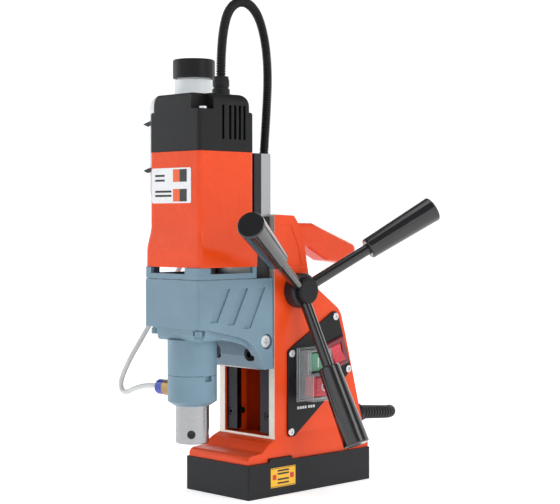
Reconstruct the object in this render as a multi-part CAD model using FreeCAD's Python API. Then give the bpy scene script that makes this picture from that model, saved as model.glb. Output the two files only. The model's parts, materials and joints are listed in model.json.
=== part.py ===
import FreeCAD, Part
import math
import os

from FreeCAD import Rotation, Vector

# Magnetic drill press.
# The origin is the centre of the magnet's bottom face. +Z is up, the drill head is on the -Y side,
# and the feed handle and the switch panel are on the +X side. All sizes are in millimetres.

# ---- magnet base
MAGNET_HALF_X = 45.0
MAGNET_HALF_Y = 85.75
MAGNET_TOP = 33.0
COIL_OUT_X, COIL_OUT_Y = 33.0, 73.0
COIL_IN_X, COIL_IN_Y = 17.0, 57.0
COIL_DEPTH = 24.0
TAB_FRONT, TAB_REAR, TAB_TOP = -57.4, -26.9, 36.4

# ---- frame casting, a channel that is open to the front
WALL_OUT = 39.5
FOOT_HALF_X, FOOT_FRONT = 42.3, -84.2
WALL_IN = 31.8
FRAME_FRONT = -46.0
FRAME_TOP = 272.0
CHANNEL_FLOOR = 56.0
RAIL_FRONT, RAIL_BACK = -43.3, -32.9
RAIL_FRONT_X, RAIL_BACK_X = 16.7, 21.55
RAIL_BOTTOM, RAIL_TOP = 58.0, 270.0
RAIL_SCREW_X = 26.5
RAIL_SCREW_Z = (75.0, 135.0, 195.0, 255.0)
GIB_SCREW_Z = (75.0, 115.0, 155.0, 195.0)
COVER_LOW, COVER_HIGH = 47.0, 151.0
COVER_THICKNESS = 3.0
FIT_GAP = 0.3
SCREW_GAP = 0.05

# ---- slide, rack and pinion
SLIDE_HALF_X = 31.5
SLIDE_FRONT, SLIDE_BACK = -59.0, -43.6
SLIDE_LOW, SLIDE_HIGH = 122.0, 330.7
TONGUE_FRONT_X, TONGUE_BACK_X, TONGUE_BACK = 16.2, 21.0, -33.4
RACK_HALF_X = 8.0
RACK_FRONT = -39.4
RACK_MODULE = 2.0
PINION_TEETH = 15
PRESSURE_ANGLE = math.radians(25.0)
FEED_Y, FEED_Z = -16.0, 197.6
SHAFT_R = 8.0
BUSH_R = 11.0

# ---- feed handle
ARM_ANGLES = (33.5, 153.5, 273.5)
ARM_ROOT_X = 46.0
ARM_END_X, ARM_END_RADIUS = 112.0, 145.5
ROD_R = 5.6
GRIP_START = 0.50
GRIP_ROOT_R, GRIP_END_R = 10.6, 12.9

# ---- drill head
SPINDLE_Y = -117.0
MOTOR_Y = -105.0
COUNTER_X, COUNTER_Y = 17.43, -100.5
HEAD_HALF_X = 39.2
HEAD_FRONT = -143.0
MOTOR_HALF_X, MOTOR_FRONT, MOTOR_BACK = 36.5, -139.0, -70.4
CAP_HALF_X, CAP_FRONT, CAP_BACK = 36.7, -139.2, -70.2
MOTOR_LOW, CAP_LOW, CAP_HIGH = 222.0, 331.2, 385.0
NOSE_R = 23.5
NOSE_SEAM, NOSE_LOW = 119.3, 90.6
ARBOR_R, ARBOR_LOW, ARBOR_TOP = 16.0, 54.5, 90.0
SHANK_BORE_R, SHANK_DEPTH = 9.525, 35.0
SPINDLE_R = 10.0
MOTOR_PINION_TEETH, COUNTER_GEAR_TEETH, FIRST_MODULE = 12, 36, 0.75
COUNTER_PINION_TEETH, SPINDLE_GEAR_TEETH, SECOND_MODULE = 14, 34, 1.0

# ---- coolant bottle
BOTTLE_X, BOTTLE_Y = -71.2, -52.3
BOTTLE_HALF_X, BOTTLE_HALF_Y = 28.8, 42.0
NIPPLE_LOW, BOTTLE_LOW, BOTTLE_HIGH = 276.0, 284.0, 392.0
BOTTLE_CAP_LOW, BOTTLE_CAP_HIGH = 410.0, 429.0
CLIP_TOPS = (319.5, 366.1)
FITTING_Z = 104.0

# ---- flexible lines
CONDUIT_R = 4.75
CONDUIT_ROUTE = [(8, -87, 404), (8, -87, 421), (7, -83.5, 448), (6, -76, 469), (5.5, -62, 479.5),
                 (5, -46, 478.5), (4, -32, 466), (3.5, -23, 441), (3, -19.5, 410), (2, -20.5, 376),
                 (1, -22.5, 342), (-2.2, -21.5, 314), (-3.5, -21, 298), (-3.5, -21, 283)]
GLAND_X, GLAND_Y = -3.5, -21.0
HOSE_R = 2.5
HOSE_ROUTE = [(-51, -117, 104), (-67, -117, 104), (-84.5, -119.5, 99.5), (-98.5, -121.5, 93), (-105.5, -121.5, 101),
              (-103.5, -118, 114), (-98.5, -111.5, 131), (-93, -102, 149), (-87, -90.5, 172), (-81, -78, 197),
              (-75.5, -65, 223), (-71.8, -54, 247), (-71.2, -52.3, 262), (-71.2, -52.3, 276)]
CORD_R = 4.0
RELIEF_X, RELIEF_Z = 22.0, 66.0
RELIEF_GLAND_END, RELIEF_BEND_START, RELIEF_BEND_R = 94.0, 132.0, 28.0
RELIEF_DROOP = 5.0
CORD_ROUTE = [(13.8, 151.58, 60.96), (-0.34, 165.67, 59.73), (-20, 177.5, 57), (-43, 184.5, 51), (-66, 187, 40),
              (-89, 188, 26), (-110, 184, 12), (-128, 172.5, 4.2), (-138.5, 155, 4.2), (-141, 137, 4.2)]
COIL_X, COIL_Y = -87.0, 129.0
COIL_R_IN, COIL_R_OUT, COIL_HEIGHT = 32.0, 56.0, 24.0

os.makedirs("parts", exist_ok=True)
PARTS = {}


# ---- helpers

def keep(name, *solids):
    """Store one node, as one solid or as several separate solids."""
    shape = solids[0] if len(solids) == 1 else Part.makeCompound(list(solids))
    PARTS[name] = shape
    return shape


def block(x0, x1, y0, y1, z0, z1):
    return Part.makeBox(x1 - x0, y1 - y0, z1 - z0, Vector(x0, y0, z0))


def rod(radius, start, end):
    start, end = Vector(*start), Vector(*end)
    return Part.makeCylinder(radius, (end - start).Length, start, end - start)


def cone(radius_start, radius_end, start, end):
    start, end = Vector(*start), Vector(*end)
    return Part.makeCone(radius_start, radius_end, (end - start).Length, start, end - start)


def ring(outer, inner, start, end):
    return rod(outer, start, end).cut(rod(inner, start, end))


def prism(points, direction):
    """Extrude the closed polygon through the points along a vector."""
    corners = [Vector(*p) for p in points]
    return Part.Face(Part.makePolygon(corners + corners[:1])).extrude(Vector(*direction))


def prism_x(points_yz, x0, x1):
    return prism([(x0, y, z) for y, z in points_yz], (x1 - x0, 0, 0))


def prism_y(points_xz, y0, y1):
    return prism([(x, y0, z) for x, z in points_xz], (0, y1 - y0, 0))


def prism_z(points_xy, z0, z1):
    return prism([(x, y, z0) for x, y in points_xy], (0, 0, z1 - z0))


def rounded_wire(x0, x1, y0, y1, radius, z):
    """A rectangle with round corners, as one wire at height z."""
    edges = []
    corners = [(x1 - radius, y1 - radius, 0), (x0 + radius, y1 - radius, 90),
               (x0 + radius, y0 + radius, 180), (x1 - radius, y0 + radius, 270)]
    points = []
    for cx, cy, start in corners:
        arc = [Vector(cx + radius * math.cos(math.radians(start + step)),
                      cy + radius * math.sin(math.radians(start + step)), z) for step in (0, 45, 90)]
        points.append(arc)
    for index, arc in enumerate(points):
        edges.append(Part.Arc(*arc).toShape())
        edges.append(Part.LineSegment(arc[2], points[(index + 1) % 4][0]).toShape())
    return Part.Wire(edges)


def rounded_block(x0, x1, y0, y1, radius, z0, z1):
    return Part.Face(rounded_wire(x0, x1, y0, y1, radius, z0)).extrude(Vector(0, 0, z1 - z0))


def mirror_x(shape):
    return shape.mirror(Vector(0, 0, 0), Vector(1, 0, 0))


def fillet_where(shape, radius, test):
    """Round the edges whose middle point and direction pass the test."""
    chosen = []
    for edge in shape.Edges:
        middle = edge.valueAt((edge.FirstParameter + edge.LastParameter) / 2)
        along = edge.valueAt(edge.LastParameter) - edge.valueAt(edge.FirstParameter)
        if test(middle, along):
            chosen.append(edge)
    return shape.makeFillet(radius, chosen)


def route_wire(route):
    """Straight runs joined by tangent arcs, each arc as large as its two runs allow."""
    points = [Vector(*p) for p in route]
    edges = []
    last = points[0]
    radii = []
    for before, here, after in zip(points, points[1:], points[2:]):
        into, out = (here - before), (after - here)
        turn = into.getAngle(out)
        reach = 0.45 * min(into.Length, out.Length)
        radii.append(reach / math.tan(turn / 2))
        arc_in = here - into.normalize() * reach
        arc_out = here + out.normalize() * reach
        bisector = (arc_in + arc_out) * 0.5 - here
        centre_distance = reach / math.sin(turn / 2)
        radius = radii[-1]
        middle = here + bisector.normalize() * (math.hypot(radius, reach) - radius)
        if (arc_in - last).Length > 1e-6:
            edges.append(Part.LineSegment(last, arc_in).toShape())
        edges.append(Part.Arc(arc_in, middle, arc_out).toShape())
        last = arc_out
    edges.append(Part.LineSegment(last, points[-1]).toShape())
    return Part.Wire(edges), radii


def tube(name, route, radius):
    """A solid round tube along a route, with its radii and its volume printed."""
    path, radii = route_wire(route)
    start = Vector(*route[0])
    heading = Vector(*route[1]) - start
    section = Part.Wire(Part.makeCircle(radius, start, heading))
    solid = path.makePipeShell([section], True, False)
    expected = math.pi * radius ** 2 * path.Length
    print(name, "length", round(path.Length, 1), "least radius", round(min(radii), 1),
          "volume ratio", round(solid.Volume / expected, 4))
    return solid


def gear_points(teeth, module, turn):
    """Outline of a spur gear with straight involute-like flanks and some backlash."""
    pitch_r = module * teeth / 2
    root_r = pitch_r - 1.2 * module
    tip_r = pitch_r + 0.9 * module
    base_r = pitch_r * math.cos(PRESSURE_ANGLE)

    def involute(radius):
        if radius <= base_r:
            return 0.0
        angle = math.acos(base_r / radius)
        return math.tan(angle) - angle

    half_tooth = math.pi / (2 * teeth) * 0.94
    flank_radii = [max(base_r, root_r) + (tip_r - max(base_r, root_r)) * step / 3 for step in range(4)]
    points = []
    for index in range(teeth):
        centre = turn + 2 * math.pi * index / teeth
        rising = [(root_r, half_tooth + involute(pitch_r))]
        rising += [(r, half_tooth + involute(pitch_r) - involute(r)) for r in flank_radii]
        for radius, offset in rising:
            points.append((radius * math.cos(centre - offset), radius * math.sin(centre - offset)))
        for radius, offset in reversed(rising):
            points.append((radius * math.cos(centre + offset), radius * math.sin(centre + offset)))
    clean = [points[0]]
    for point in points[1:]:
        if math.dist(point, clean[-1]) > 1e-4:
            clean.append(point)
    return clean


def gear_z(teeth, module, centre, turn, z0, z1):
    """A spur gear about a vertical axis."""
    outline = [(centre[0] + x, centre[1] + y) for x, y in gear_points(teeth, module, turn)]
    return prism_z(outline, z0, z1)


def socket_screw(head_r, head_h, shank_r, length, head_at, direction, socket_r):
    """A cap screw: the head starts at head_at and the shank runs along the direction."""
    at, along = Vector(*head_at), Vector(*direction).normalize()
    head = Part.makeCylinder(head_r, head_h, at, along)
    shank = Part.makeCylinder(shank_r, length, at + along * head_h, along)
    screw = head.fuse(shank)
    socket = Part.makeCylinder(socket_r, head_h * 0.6, at - along * 0.001, along)
    return screw.cut(socket)


def rear_y(z):
    """Y of the frame's sloping rear face at height z."""
    return 85.75 - (z - 38.4) * 0.2773


# ---- magnet base

def racetrack(half_x, half_y, radius, z0, z1):
    return rounded_block(-half_x, half_x, -half_y, half_y, radius, z0, z1)


MAGNET_SCREWS = [(x, y) for x in (-24.0, 24.0) for y in (-2.0, 62.0)]


def make_magnet():
    body = block(-MAGNET_HALF_X, MAGNET_HALF_X, -MAGNET_HALF_Y, MAGNET_HALF_Y, 0, MAGNET_TOP)
    body = fillet_where(body, 1.2, lambda m, d: abs(d.z) > 30)
    groove = racetrack(COIL_OUT_X, COIL_OUT_Y, 8, 0, COIL_DEPTH)
    groove = groove.cut(racetrack(COIL_IN_X, COIL_IN_Y, 4, 0, COIL_DEPTH))
    body = body.cut(groove)
    for side in (-1, 1):
        x0, x1 = sorted((side * (WALL_OUT + 0.5), side * MAGNET_HALF_X))
        body = body.fuse(block(x0, x1, TAB_FRONT, TAB_REAR, MAGNET_TOP - 1, TAB_TOP))
    for x, y in MAGNET_SCREWS:
        body = body.cut(rod(4, (x, y, COIL_DEPTH + 1.5), (x, y, MAGNET_TOP + 1)))
    keep("magnet_base", body.removeSplitter())

    coil = racetrack(COIL_OUT_X - 0.5, COIL_OUT_Y - 0.5, 7.5, 3, COIL_DEPTH - 0.5)
    keep("magnet_coil", coil.cut(racetrack(COIL_IN_X + 0.5, COIL_IN_Y + 0.5, 4.5, 3, COIL_DEPTH - 0.5)))
    resin = racetrack(COIL_OUT_X - 0.05, COIL_OUT_Y - 0.05, 8, 0.2, 2.9)
    keep("coil_potting", resin.cut(racetrack(COIL_IN_X + 0.05, COIL_IN_Y + 0.05, 4, 0.2, 2.9)))


# ---- frame casting

FRAME_SIDE = [(FOOT_FRONT, MAGNET_TOP), (FOOT_FRONT, 37.2), (FOOT_FRONT + 1.6, 39.8), (FOOT_FRONT + 4.5, 41.3),
              (-64, 42.8), (-59.5, 46.8), (-54, 50.5), (FRAME_FRONT, 53.8),
              (FRAME_FRONT, FRAME_TOP), (-19.3, 271), (-14.5, 265), (-4.7, 242.3), (0.8, 214), (4.5, 206.5),
              (16.5, 196.5), (43.7, 177.7), (48.1, 171.4), (54.8, 150.1), (85.75, 38.4), (85.75, MAGNET_TOP)]
BACK_CAVITY = [(-60, 300), (-60, CHANNEL_FLOOR), (-25, CHANNEL_FLOOR), (-22, 45), (77, 45), (50, 143), (43, 164),
               (38, 170), (10, 190), (0.5, 204), (-4.5, 212), (-7, 220), (-12, 240), (-19, 258), (-24, 262),
               (-28, 262), (-28, 300)]
PANEL_OUTLINE = [(-29.2, 138.9), (35.3, 174.9), (41.0, 173.8), (61.2, 115.8), (54.5, 108.6), (-20.2, 54.6),
                 (-29.2, 54.6)]
PANEL_SCREWS = [(-24.4, 136.0), (37.6, 169.5), (56.4, 115.4), (-25.6, 59.4)]
RELIEF_INSET = [(-39, 262), (-23, 262), (-12.5, 240), (-8.5, 222), (-39, 222)]


def foot_profile():
    """Front profile of the casting: two walls that widen at the foot."""
    foot_low, arc_low, arc_high, top = 32.0, 36.5, 57.5, 280.0

    def at(x, z):
        return Vector(x, -90, z)

    outline = [at(WALL_OUT, arc_high), at(WALL_OUT, top), at(-WALL_OUT, top), at(-WALL_OUT, arc_high)]
    edges = [Part.LineSegment(a, b).toShape() for a, b in zip(outline, outline[1:])]
    edges.append(Part.Arc(at(-WALL_OUT, arc_high), at(-41.6, 47), at(-FOOT_HALF_X, arc_low)).toShape())
    foot = [at(-FOOT_HALF_X, arc_low), at(-FOOT_HALF_X, foot_low), at(FOOT_HALF_X, foot_low), at(FOOT_HALF_X, arc_low)]
    edges += [Part.LineSegment(a, b).toShape() for a, b in zip(foot, foot[1:])]
    edges.append(Part.Arc(at(FOOT_HALF_X, arc_low), at(41.6, 47), at(WALL_OUT, arc_high)).toShape())
    return Part.Face(Part.Wire(edges)).extrude(Vector(0, 180, 0))


def cover_prism(low, high, depth, half_x, offset=0.0):
    """A slab that follows the rear face between two heights."""
    points = [(rear_y(low) - offset, low), (rear_y(high) - offset, high),
              (rear_y(high) - offset - depth, high), (rear_y(low) - offset - depth, low)]
    return prism_x(points, -half_x, half_x)


COVER_SCREWS = [(-27.0, 52.0), (27.0, 52.0), (-15.0, 146.0), (15.0, 146.0)]


def make_frame():
    body = prism_x(FRAME_SIDE, -50, 50).common(foot_profile())
    body = fillet_where(body, 3.0, lambda m, d: abs(d.x) > 60 and m.z > 150 and m.y > -30 and m.z < 280
                        and abs(m.y - 4.5) > 0.5)
    body = body.cut(prism_x(BACK_CAVITY, -WALL_IN, WALL_IN))
    body = body.cut(prism_x(PANEL_OUTLINE, WALL_OUT + 0.03, 60))
    body = body.cut(cover_prism(COVER_LOW - FIT_GAP, COVER_HIGH + FIT_GAP, 14, WALL_IN))
    for side in (-1, 1):
        x0, x1 = sorted((side * 22.0, side * (WALL_IN + 1)))
        body = body.fuse(block(x0, x1, RAIL_BACK + 0.1, -25.0, CHANNEL_FLOOR - 1, 268))
        post = cover_prism(COVER_LOW - 1, COVER_LOW + 8.4, 12, WALL_IN + 1, COVER_THICKNESS + 0.1)
        body = body.fuse(post.common(block(x0, x1, -90, 90, 0, 300)))
        body = body.cut(rod(13.4, (side * 20, FEED_Y, FEED_Z), (side * WALL_IN, FEED_Y, FEED_Z)))
        x0, x1 = sorted((side * (WALL_OUT - 0.8), side * (WALL_OUT + 5)))
        body = body.cut(prism_x(RELIEF_INSET, x0, x1))
        x0, x1 = sorted((side * WALL_OUT, side * (MAGNET_HALF_X + 1)))
        body = body.cut(block(x0, x1, TAB_FRONT - 0.2, TAB_REAR + 0.2, 30, TAB_TOP + 0.2))
    body = body.fuse(cover_prism(COVER_HIGH - 9, COVER_HIGH + 3, 8, 22, COVER_THICKNESS + 0.1))
    body = body.cut(rod(BUSH_R, (-60, FEED_Y, FEED_Z), (60, FEED_Y, FEED_Z)))
    for x, y in MAGNET_SCREWS:
        body = body.cut(rod(4.5, (x, y, 30), (x, y, 46)))
        body = body.cut(rod(7, (x, y, 45), (x, y, 60)))
    for side in (-1, 1):
        for z in RAIL_SCREW_Z:
            body = body.cut(rod(2, (side * RAIL_SCREW_X, -40, z), (side * RAIL_SCREW_X, -26, z)))
    for z in GIB_SCREW_Z:
        body = body.cut(rod(2.5, (-50, -38, z), (-20, -38, z)))
    for x, z in COVER_SCREWS:
        body = body.cut(rod(1.5, (x, rear_y(z) - 14, z), (x, rear_y(z) + 1, z)))
    for y, z in PANEL_SCREWS:
        body = body.cut(rod(1.8, (WALL_IN - 1, y, z), (50, y, z)))
    body = body.cut(block(WALL_IN - 5, 50, -12.5, 11.5, 91.5, 137.0))
    body = body.cut(rocker_block(WALL_IN - 5, 50, 10.5, 11.3))
    for x, z in HANDLE_BOLTS:
        body = body.cut(rod(3, (x, -40, z), (x, 30, z)))
    body = body.cut(rod(3, (GLAND_X, GLAND_Y, 250), (GLAND_X, GLAND_Y, 290)))
    keep("frame_casting", body.removeSplitter())


def make_frame_trim():
    cover = cover_prism(COVER_LOW, COVER_HIGH, COVER_THICKNESS, SLIDE_HALF_X)
    for x, z in COVER_SCREWS:
        cover = cover.cut(rod(1.8, (x, rear_y(z) - 14, z), (x, rear_y(z) + 3, z)))
    boss_end = rear_y(RELIEF_Z) + 3.4
    cover = cover.fuse(rod(10.2, (RELIEF_X - 1.2, boss_end - 6, RELIEF_Z), (RELIEF_X - 1.2, boss_end, RELIEF_Z)))
    cover = cover.cut(rod(4.5, (RELIEF_X, 60, RELIEF_Z), (RELIEF_X, 90, RELIEF_Z)))
    keep("rear_cover", cover)
    screws = []
    for x, z in COVER_SCREWS:
        top = rear_y(z) + 3.0
        screws.append(socket_screw(3.2, 2.0, 1.45, 11, (x, top, z), (0, -1, 0), 1.3))
    keep("cover_screws", *screws)


# ---- carry handle

HANDLE_BOLTS = [(0.0, 244.0), (0.0, 253.0)]
HANDLE_TOP = [(-14.1, 264.0), (37, 263.5), (58.1, 255.6), (101, 240.4)]
HANDLE_BOTTOM = [(99.5, 219.5), (75, 222.8), (58.1, 224.6), (30, 238.7), (-3.2, 238.7), (-4.2, 241)]


def make_handle():
    body = prism_x(HANDLE_TOP + HANDLE_BOTTOM, -12, 12)
    body = body.cut(prism_x([(-50, 300), (-19.3, 272), (-14.2, 265), (-4.4, 242.3), (-1.8, 229), (-50, 229)],
                            -20, 20))
    body = fillet_where(body, 6.0, lambda m, d: abs(d.x) > 20 and m.y > 90)
    body = fillet_where(body, 9.0, lambda m, d: abs(d.x) > 20 and 20 < m.y < 90)
    body = fillet_where(body, 4.0, lambda m, d: abs(m.x) > 11.9 and abs(d.x) < 1 and m.y > 0)
    for x, z in HANDLE_BOLTS:
        body = body.cut(rod(3, (x, -20, z), (x, 14, z)))
    keep("carry_handle", body)


# ---- rails, bushes and frame screws

def rail(side):
    points = [(WALL_IN - 0.02, RAIL_FRONT), (RAIL_FRONT_X, RAIL_FRONT), (RAIL_BACK_X, RAIL_BACK),
              (WALL_IN - 0.02, RAIL_BACK)]
    body = prism_z(points, RAIL_BOTTOM, RAIL_TOP)
    for z in RAIL_SCREW_Z:
        body = body.cut(rod(2, (RAIL_SCREW_X, -50, z), (RAIL_SCREW_X, -30, z)))
        body = body.cut(rod(4, (RAIL_SCREW_X, -44, z), (RAIL_SCREW_X, -39, z)))
    return body if side > 0 else mirror_x(body)


def make_rails():
    stop_at = Vector(-19.2, -37, 76.5)
    left = rail(-1).cut(rod(2.0, (-29, -37, 76.5), (-15, -37, 76.5)))
    keep("guide_rails", rail(1), left)
    screws = []
    for side in (-1, 1):
        for z in RAIL_SCREW_Z:
            screws.append(socket_screw(3.7, 3.5, 2 - SCREW_GAP, 12, (side * RAIL_SCREW_X, -42.8, z), (0, 1, 0), 1.6))
    for x, y in MAGNET_SCREWS:
        screws.append(socket_screw(6.5, 7, 4 - SCREW_GAP, 19, (x, y, 52.1), (0, 0, -1), 3.2))
    screws.append(socket_screw(3.0, 3.0, 2 - SCREW_GAP, 9, (stop_at.x + 4.2, -37, 76.5), (-1, 0, 0), 1.4))
    for x, z in HANDLE_BOLTS:
        inner = -12 - (z - 240) * 7 / 18
        screws.append(socket_screw(4.2, 4, 3 - SCREW_GAP, 20, (x, inner - 5.9, z), (0, 1, 0), 2.3))
    keep("frame_screws", *screws)
    gibs = []
    for z in GIB_SCREW_Z:
        screw = rod(2.5 - SCREW_GAP, (-45.0, -38, z), (-WALL_IN, -38, z)).cut(
            rod(1.3, (-45.1, -38, z), (-42, -38, z)))
        nut = rod(4.4, (-WALL_OUT - 3.2, -38, z), (-WALL_OUT, -38, z)).cut(
            rod(2.5, (-WALL_OUT - 4, -38, z), (-WALL_OUT + 1, -38, z)))
        gibs += [screw, nut]
    keep("gib_screws", *gibs)
    bushes = []
    for side in (-1, 1):
        sleeve = rod(BUSH_R - 0.02, (side * (WALL_IN - 2), FEED_Y, FEED_Z), (side * WALL_OUT, FEED_Y, FEED_Z))
        flange = rod(13, (side * (WALL_IN - 2), FEED_Y, FEED_Z), (side * (WALL_IN - 0.02), FEED_Y, FEED_Z))
        bore = rod(SHAFT_R + 0.04, (side * 20, FEED_Y, FEED_Z), (side * 50, FEED_Y, FEED_Z))
        bushes.append(sleeve.fuse(flange).cut(bore))
    keep("pinion_bushes", *bushes)


# ---- switch panel

PANEL_X0, PANEL_X1 = 39.55, 41.3
PANEL_HEAD_H = 1.6
SWITCH_Y0, SWITCH_Y1, SWITCH_Z0, SWITCH_Z1 = -18.0, 17.5, 88.0, 141.0


def hollow_box(x0, x1, y0, y1, z0, z1, wall):
    """A box closed on +X and open on -X."""
    outer = block(x0, x1, y0, y1, z0, z1)
    return outer.cut(block(x0 - 1, x1 - wall, y0 + wall, y1 - wall, z0 + wall, z1 - wall))


def make_panel():
    plate = prism_x(PANEL_OUTLINE, PANEL_X0, PANEL_X1)
    plate = fillet_where(plate, 4.5, lambda m, d: abs(d.x) > 1.5 and m.z > 60 and m.z < 160 and m.y > 50)
    plate = fillet_where(plate, 4.5, lambda m, d: abs(d.x) > 1.5 and (m.z > 170 or m.y < -25 or m.z < 60))
    plate = plate.cut(block(30, 50, -13, 12, 91, 137.5))
    plate = plate.cut(rocker_block(30, 50, 11.0, 11.5))
    for y, z in PANEL_SCREWS:
        plate = plate.cut(rod(1.8, (30, y, z), (50, y, z)))
    keep("control_panel", plate)
    screws = []
    for y, z in PANEL_SCREWS:
        screw = socket_screw(3.9, PANEL_HEAD_H, 1.75, 8, (PANEL_X1 + PANEL_HEAD_H, y, z), (-1, 0, 0), 1.6)
        screws.append(fillet_where(screw, 1.0, lambda m, d: abs(m.x - PANEL_X1 - PANEL_HEAD_H) < 0.01 and
                                   abs(math.hypot(m.y - y, m.z - z) - 3.9) < 0.01))
    keep("panel_screws", *screws)


def make_switch():
    base = block(PANEL_X1, PANEL_X1 + 4.5, -13.2, 13.5, 91.5, 137.0)
    inner = block(WALL_IN - 14, PANEL_X1 + 1, -12, 11, 92, 136.5)
    box = base.fuse(inner)
    box = box.cut(block(30, 60, -7.3, 8.3, 117.2, 135.2))
    box = box.cut(block(30, 39.5, -9, 10, 117.2, 135.2))
    box = box.cut(block(30, 60, -9.3, 9.3, 94.2, 113.2))
    keep("switch_box", box)

    low = hollow_box(PANEL_X1, 62.0, SWITCH_Y0 + 3, SWITCH_Y1, SWITCH_Z0 + 1.5, 116.0, 1.6)
    high = hollow_box(PANEL_X1, 55.0, SWITCH_Y0 + 3, SWITCH_Y1, 114.4, SWITCH_Z1 - 1.5, 1.6)
    flange = block(PANEL_X1, PANEL_X1 + 1.6, SWITCH_Y0, SWITCH_Y1 + 1, SWITCH_Z0, SWITCH_Z1)
    flange = flange.cut(block(30, 60, SWITCH_Y0 + 4, SWITCH_Y1 - 1, SWITCH_Z0 + 2.5, SWITCH_Z1 - 2.5))
    shroud = low.fuse([high, flange])
    shroud = shroud.cut(block(50, 70, -14, 14, 93.2, 114.2))
    shroud = shroud.cut(block(50, 70, -10.5, 9.5, 116.2, 137.2))
    shroud = shroud.cut(block(PANEL_X1 - 0.1, 53.4, SWITCH_Y0 + 4.6, SWITCH_Y1 - 1.6, 91.1, SWITCH_Z1 - 3.1))
    keep("switch_shroud", shroud)

    green = block(38.0, 49.0, -7, 8, 117.5, 134.9).fuse([block(36.5, 38.2, -8.6, 9.6, 117.5, 134.9),
                                                         block(48.8, 53.4, -9, 8.6, 117.6, 136.0)])
    green = fillet_where(green, 1.5, lambda m, d: m.x > 53.3)
    keep("green_button", green)
    red = block(38.0, 49.3, -9, 9, 94.5, 112.9).fuse(block(49.2, 62.8, -12.8, 12.8, 94.2, 113.4))
    red = fillet_where(red, 1.8, lambda m, d: m.x > 62.7)
    keep("red_button", red)


ROCKER_X, ROCKER_Y, ROCKER_Z = 39.5, 39.0, 132.2
ROCKER_TILT = 17.0


def tilted(shape):
    """Lean a part of the magnet switch so that it is parallel to the panel's sloping edge."""
    shape.rotate(Vector(0, ROCKER_Y, ROCKER_Z), Vector(1, 0, 0), ROCKER_TILT)
    return shape


def rocker_block(x0, x1, half_y, half_z):
    return tilted(block(x0, x1, ROCKER_Y - half_y, ROCKER_Y + half_y, ROCKER_Z - half_z, ROCKER_Z + half_z))


def make_rocker():
    bezel = rocker_block(PANEL_X1, PANEL_X1 + 2.6, 13.0, 14.5)
    bezel = fillet_where(bezel, 1.6, lambda m, d: m.x > PANEL_X1 + 2.5)
    housing = bezel.fuse(rocker_block(WALL_IN - 8, PANEL_X1 + 1, 10.0, 11.0))
    housing = housing.cut(rocker_block(31.5, 60, 7.6, 9.9))
    pin_hole = rod(1.5, (ROCKER_X, ROCKER_Y - 8.9, ROCKER_Z), (ROCKER_X, ROCKER_Y + 8.9, ROCKER_Z))
    keep("rocker_housing", housing.cut(tilted(pin_hole)))
    half = 9.0
    points = [(41.0, -half), (45.6, -half), (42.9, 0), (42.9, half), (38.0, half), (35.5, 0.0)]
    key = prism([(x, ROCKER_Y - 7.2, ROCKER_Z + z) for x, z in points], (0, 14.4, 0))
    key = fillet_where(key, 0.8, lambda m, d: m.x > 42.0 and abs(d.y) > 14)
    key = key.fuse(rod(1.2, (ROCKER_X, ROCKER_Y - 8.2, ROCKER_Z), (ROCKER_X, ROCKER_Y + 8.2, ROCKER_Z)))
    keep("magnet_rocker", tilted(key))


def make_electronics():
    board = block(-20, 20, 40.0, 41.6, 62, 130)
    parts = [board]
    for x, z, radius in ((-10, 80, 6), (6, 80, 6), (-10, 100, 5)):
        parts.append(rod(radius, (x, 39.98, z), (x, 20, z)))
    parts.append(block(0, 16, 30, 39.98, 105, 122))
    keep("circuit_board", *parts)


def make_labels():
    keep("base_label", block(MAGNET_HALF_X + 0.02, MAGNET_HALF_X + 0.4, -56.6, -23.2, 8.3, 27.4))
    plate = block(-32.5, 24.2, MOTOR_FRONT - 0.5, MOTOR_FRONT - 0.03, 282.4, 315.6)
    keep("motor_label", fillet_where(plate, 2.0, lambda m, d: abs(d.y) > 0.4))


# ---- mains lead

def relief_ring(distance, radius, thickness):
    """A disc of the strain relief at a distance along its centre line."""
    straight = RELIEF_BEND_START - RELIEF_GLAND_END
    if distance <= straight:
        at = Vector(RELIEF_X, RELIEF_GLAND_END + distance, RELIEF_Z)
        heading = Vector(0, 1, 0)
    else:
        turn = (distance - straight) / RELIEF_BEND_R
        at = Vector(RELIEF_X - RELIEF_BEND_R * (1 - math.cos(turn)),
                    RELIEF_BEND_START + RELIEF_BEND_R * math.sin(turn), RELIEF_Z)
        heading = Vector(-math.sin(turn), math.cos(turn), 0)
    return Part.makeCylinder(radius, thickness, at, heading)


def droop(shape):
    """Tilt the strain relief down a little about its gland."""
    shape.rotate(Vector(RELIEF_X, RELIEF_GLAND_END, RELIEF_Z), Vector(1, 0, 0), -RELIEF_DROOP)
    return shape


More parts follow.
